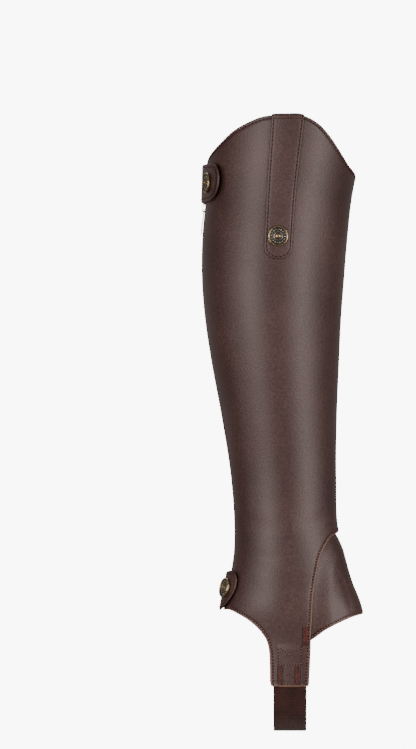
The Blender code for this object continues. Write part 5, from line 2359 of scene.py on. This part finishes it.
@dataclass(frozen=True)
class SoftBox:
    """A soft box: azimuth, height and distance of its middle, its size in metres and its power.

    The azimuth is 0 beside the camera and grows towards +X.
    """

    name: str
    azimuth: float
    height: float
    distance: float
    size: Pair
    power: float
    tint: str = "#fff5f1"
    aim: tuple[float, float, float] = (0.0, 0.0, -0.08)

    def build(self) -> None:
        """Makes the light, which the camera doesn't see, and turns it to the middle of the chap."""
        data = bpy.data.lights.new(self.name, "AREA")
        data.shape = "RECTANGLE"
        data.size, data.size_y = self.size
        data.energy = self.power
        data.color = colour(self.tint)[:3]
        made = bpy.data.objects.new(self.name, data)
        turn = math.radians(self.azimuth)
        place = Vector((math.sin(turn) * self.distance, -math.cos(turn) * self.distance, self.height))
        made.location = place
        made.rotation_euler = (place - Vector(self.aim)).to_track_quat("Z", "Y").to_euler()
        made.visible_camera = False
        bpy.context.scene.collection.objects.link(made)


@dataclass
class Studio:
    """Camera, lights, backdrop and floor.

    The camera looks level along +Y from 6.7 m. One pixel of the picture is 0.8 mm in the plane that
    lies half way to the outer side.
    """

    pixel: float = 0.8
    frame_height: float = 749
    lens: float = 400.0
    plane: float = -0.03
    sensor: float = 36.0
    middle: Pair = (-0.0528, -0.0836)
    floor_level: float = -0.3704
    floor_rings: tuple[float, ...] = (1.0, 200.0, 400.0, 620.0)
    floor_sides: int = 96
    front_glow: float = 0.10
    back_glow: float = 0.6
    seen_white: float = 9.0
    lights: tuple[SoftBox, ...] = (
        SoftBox("right_box", 56, -0.1, 2.2, (0.46, 1.2), 39),
        SoftBox("left_box", -26, -0.1, 2.2, (1.3, 1.2), 45),
        SoftBox("far_left_box", -64, -0.25, 2.2, (0.6, 1.5), 9),
        SoftBox("top_box", 10, 1.9, 1.2, (1.2, 0.8), 4),
        SoftBox("behind_box", 180, 2.0, 1.5, (1.4, 1.0), 22),
    )

    def camera(self) -> None:
        """Sets a long lens up, level, at the height and side of the picture's middle."""
        data = bpy.data.cameras.new("camera")
        data.lens = self.lens
        data.sensor_width = self.sensor
        data.clip_end = 50.0
        made = bpy.data.objects.new("camera", data)
        distance = self.pixel * MM * self.frame_height * self.lens / self.sensor
        made.location = (self.middle[0], self.plane - distance, self.middle[1])
        made.rotation_euler = (math.pi / 2, 0, 0)
        bpy.context.scene.collection.objects.link(made)
        bpy.context.scene.camera = made

    def backdrop(self) -> None:
        """Makes a white backdrop for the camera.

        What lights the chap is dim in front and beside it and brighter behind.
        """
        world = bpy.data.worlds.new("studio")
        bpy.context.scene.world = world
        world.use_nodes = True
        tree = world.node_tree
        tree.nodes.clear()
        direction = node(tree, "TexCoord").outputs["Generated"]
        behind = node(tree, "MapRange", {
            "Value": node(tree, "SeparateXYZ", {0: direction}).outputs["Y"], "From Min": 0.35,
            "From Max": 0.95, "To Min": self.front_glow, "To Max": self.back_glow,
        })
        glow = node(tree, "Background", {"Color": colour("#fdfbf8"), "Strength": behind})
        white = node(tree, "Background", {"Color": colour("#ffffff"), "Strength": self.seen_white})
        seen = node(tree, "LightPath").outputs["Is Camera Ray"]
        mix = node(tree, "MixShader", {0: seen, 1: glow, 2: white})
        node(tree, "OutputWorld", {"Surface": mix})

    def floor(self) -> None:
        """Lays a disc of paper just below the stirrup elastic."""
        level = self.floor_level / MM
        points, faces = lathe([(radius, level) for radius in self.floor_rings], self.floor_sides, True)
        made = Mesh(points, [faces, np.arange(self.floor_sides)[None]]).make("floor")
        made.data.materials.append(PaleFloor().material())

    def build(self) -> None:
        """Sets the whole studio up."""
        self.camera()
        self.backdrop()
        self.floor()
        for light in self.lights:
            light.build()


def main() -> None:
    """Builds the studio and the chap."""
    logging.basicConfig(level=logging.INFO, format="%(name)s %(message)s")
    form = LegForm()
    pattern = Pattern(form)
    Studio().build()
    facing, leather = TopFacing(form, pattern), MainPanel(form, pattern)
    suede, vamp, lining = SuedePanel(form, pattern), Vamp(form, pattern), Lining(form, pattern)
    strap, top_tab = TopStrap(form), ClosingTab(form)
    bottom_tab = ClosingTab(form, "bottom_tab", BOTTOM_TAB, BOTTOM_ROWS, 0.0, 19.0, (0.030, 0.031), ())
    panels = (facing, leather, suede, vamp, lining)
    ribbons = (strap, top_tab, bottom_tab, StirrupElastic(form), BackZip(form))
    for part in (*panels, *ribbons, Snaps(form, top_tab, bottom_tab)):
        part.build()
    threads = Threads()
    leather.sew(threads, strap)
    for part in (StirrupStitches(leather), suede, vamp, lining, facing, strap, top_tab, bottom_tab):
        part.sew(threads)
    threads.build()


if __name__ == "__main__":
    main()
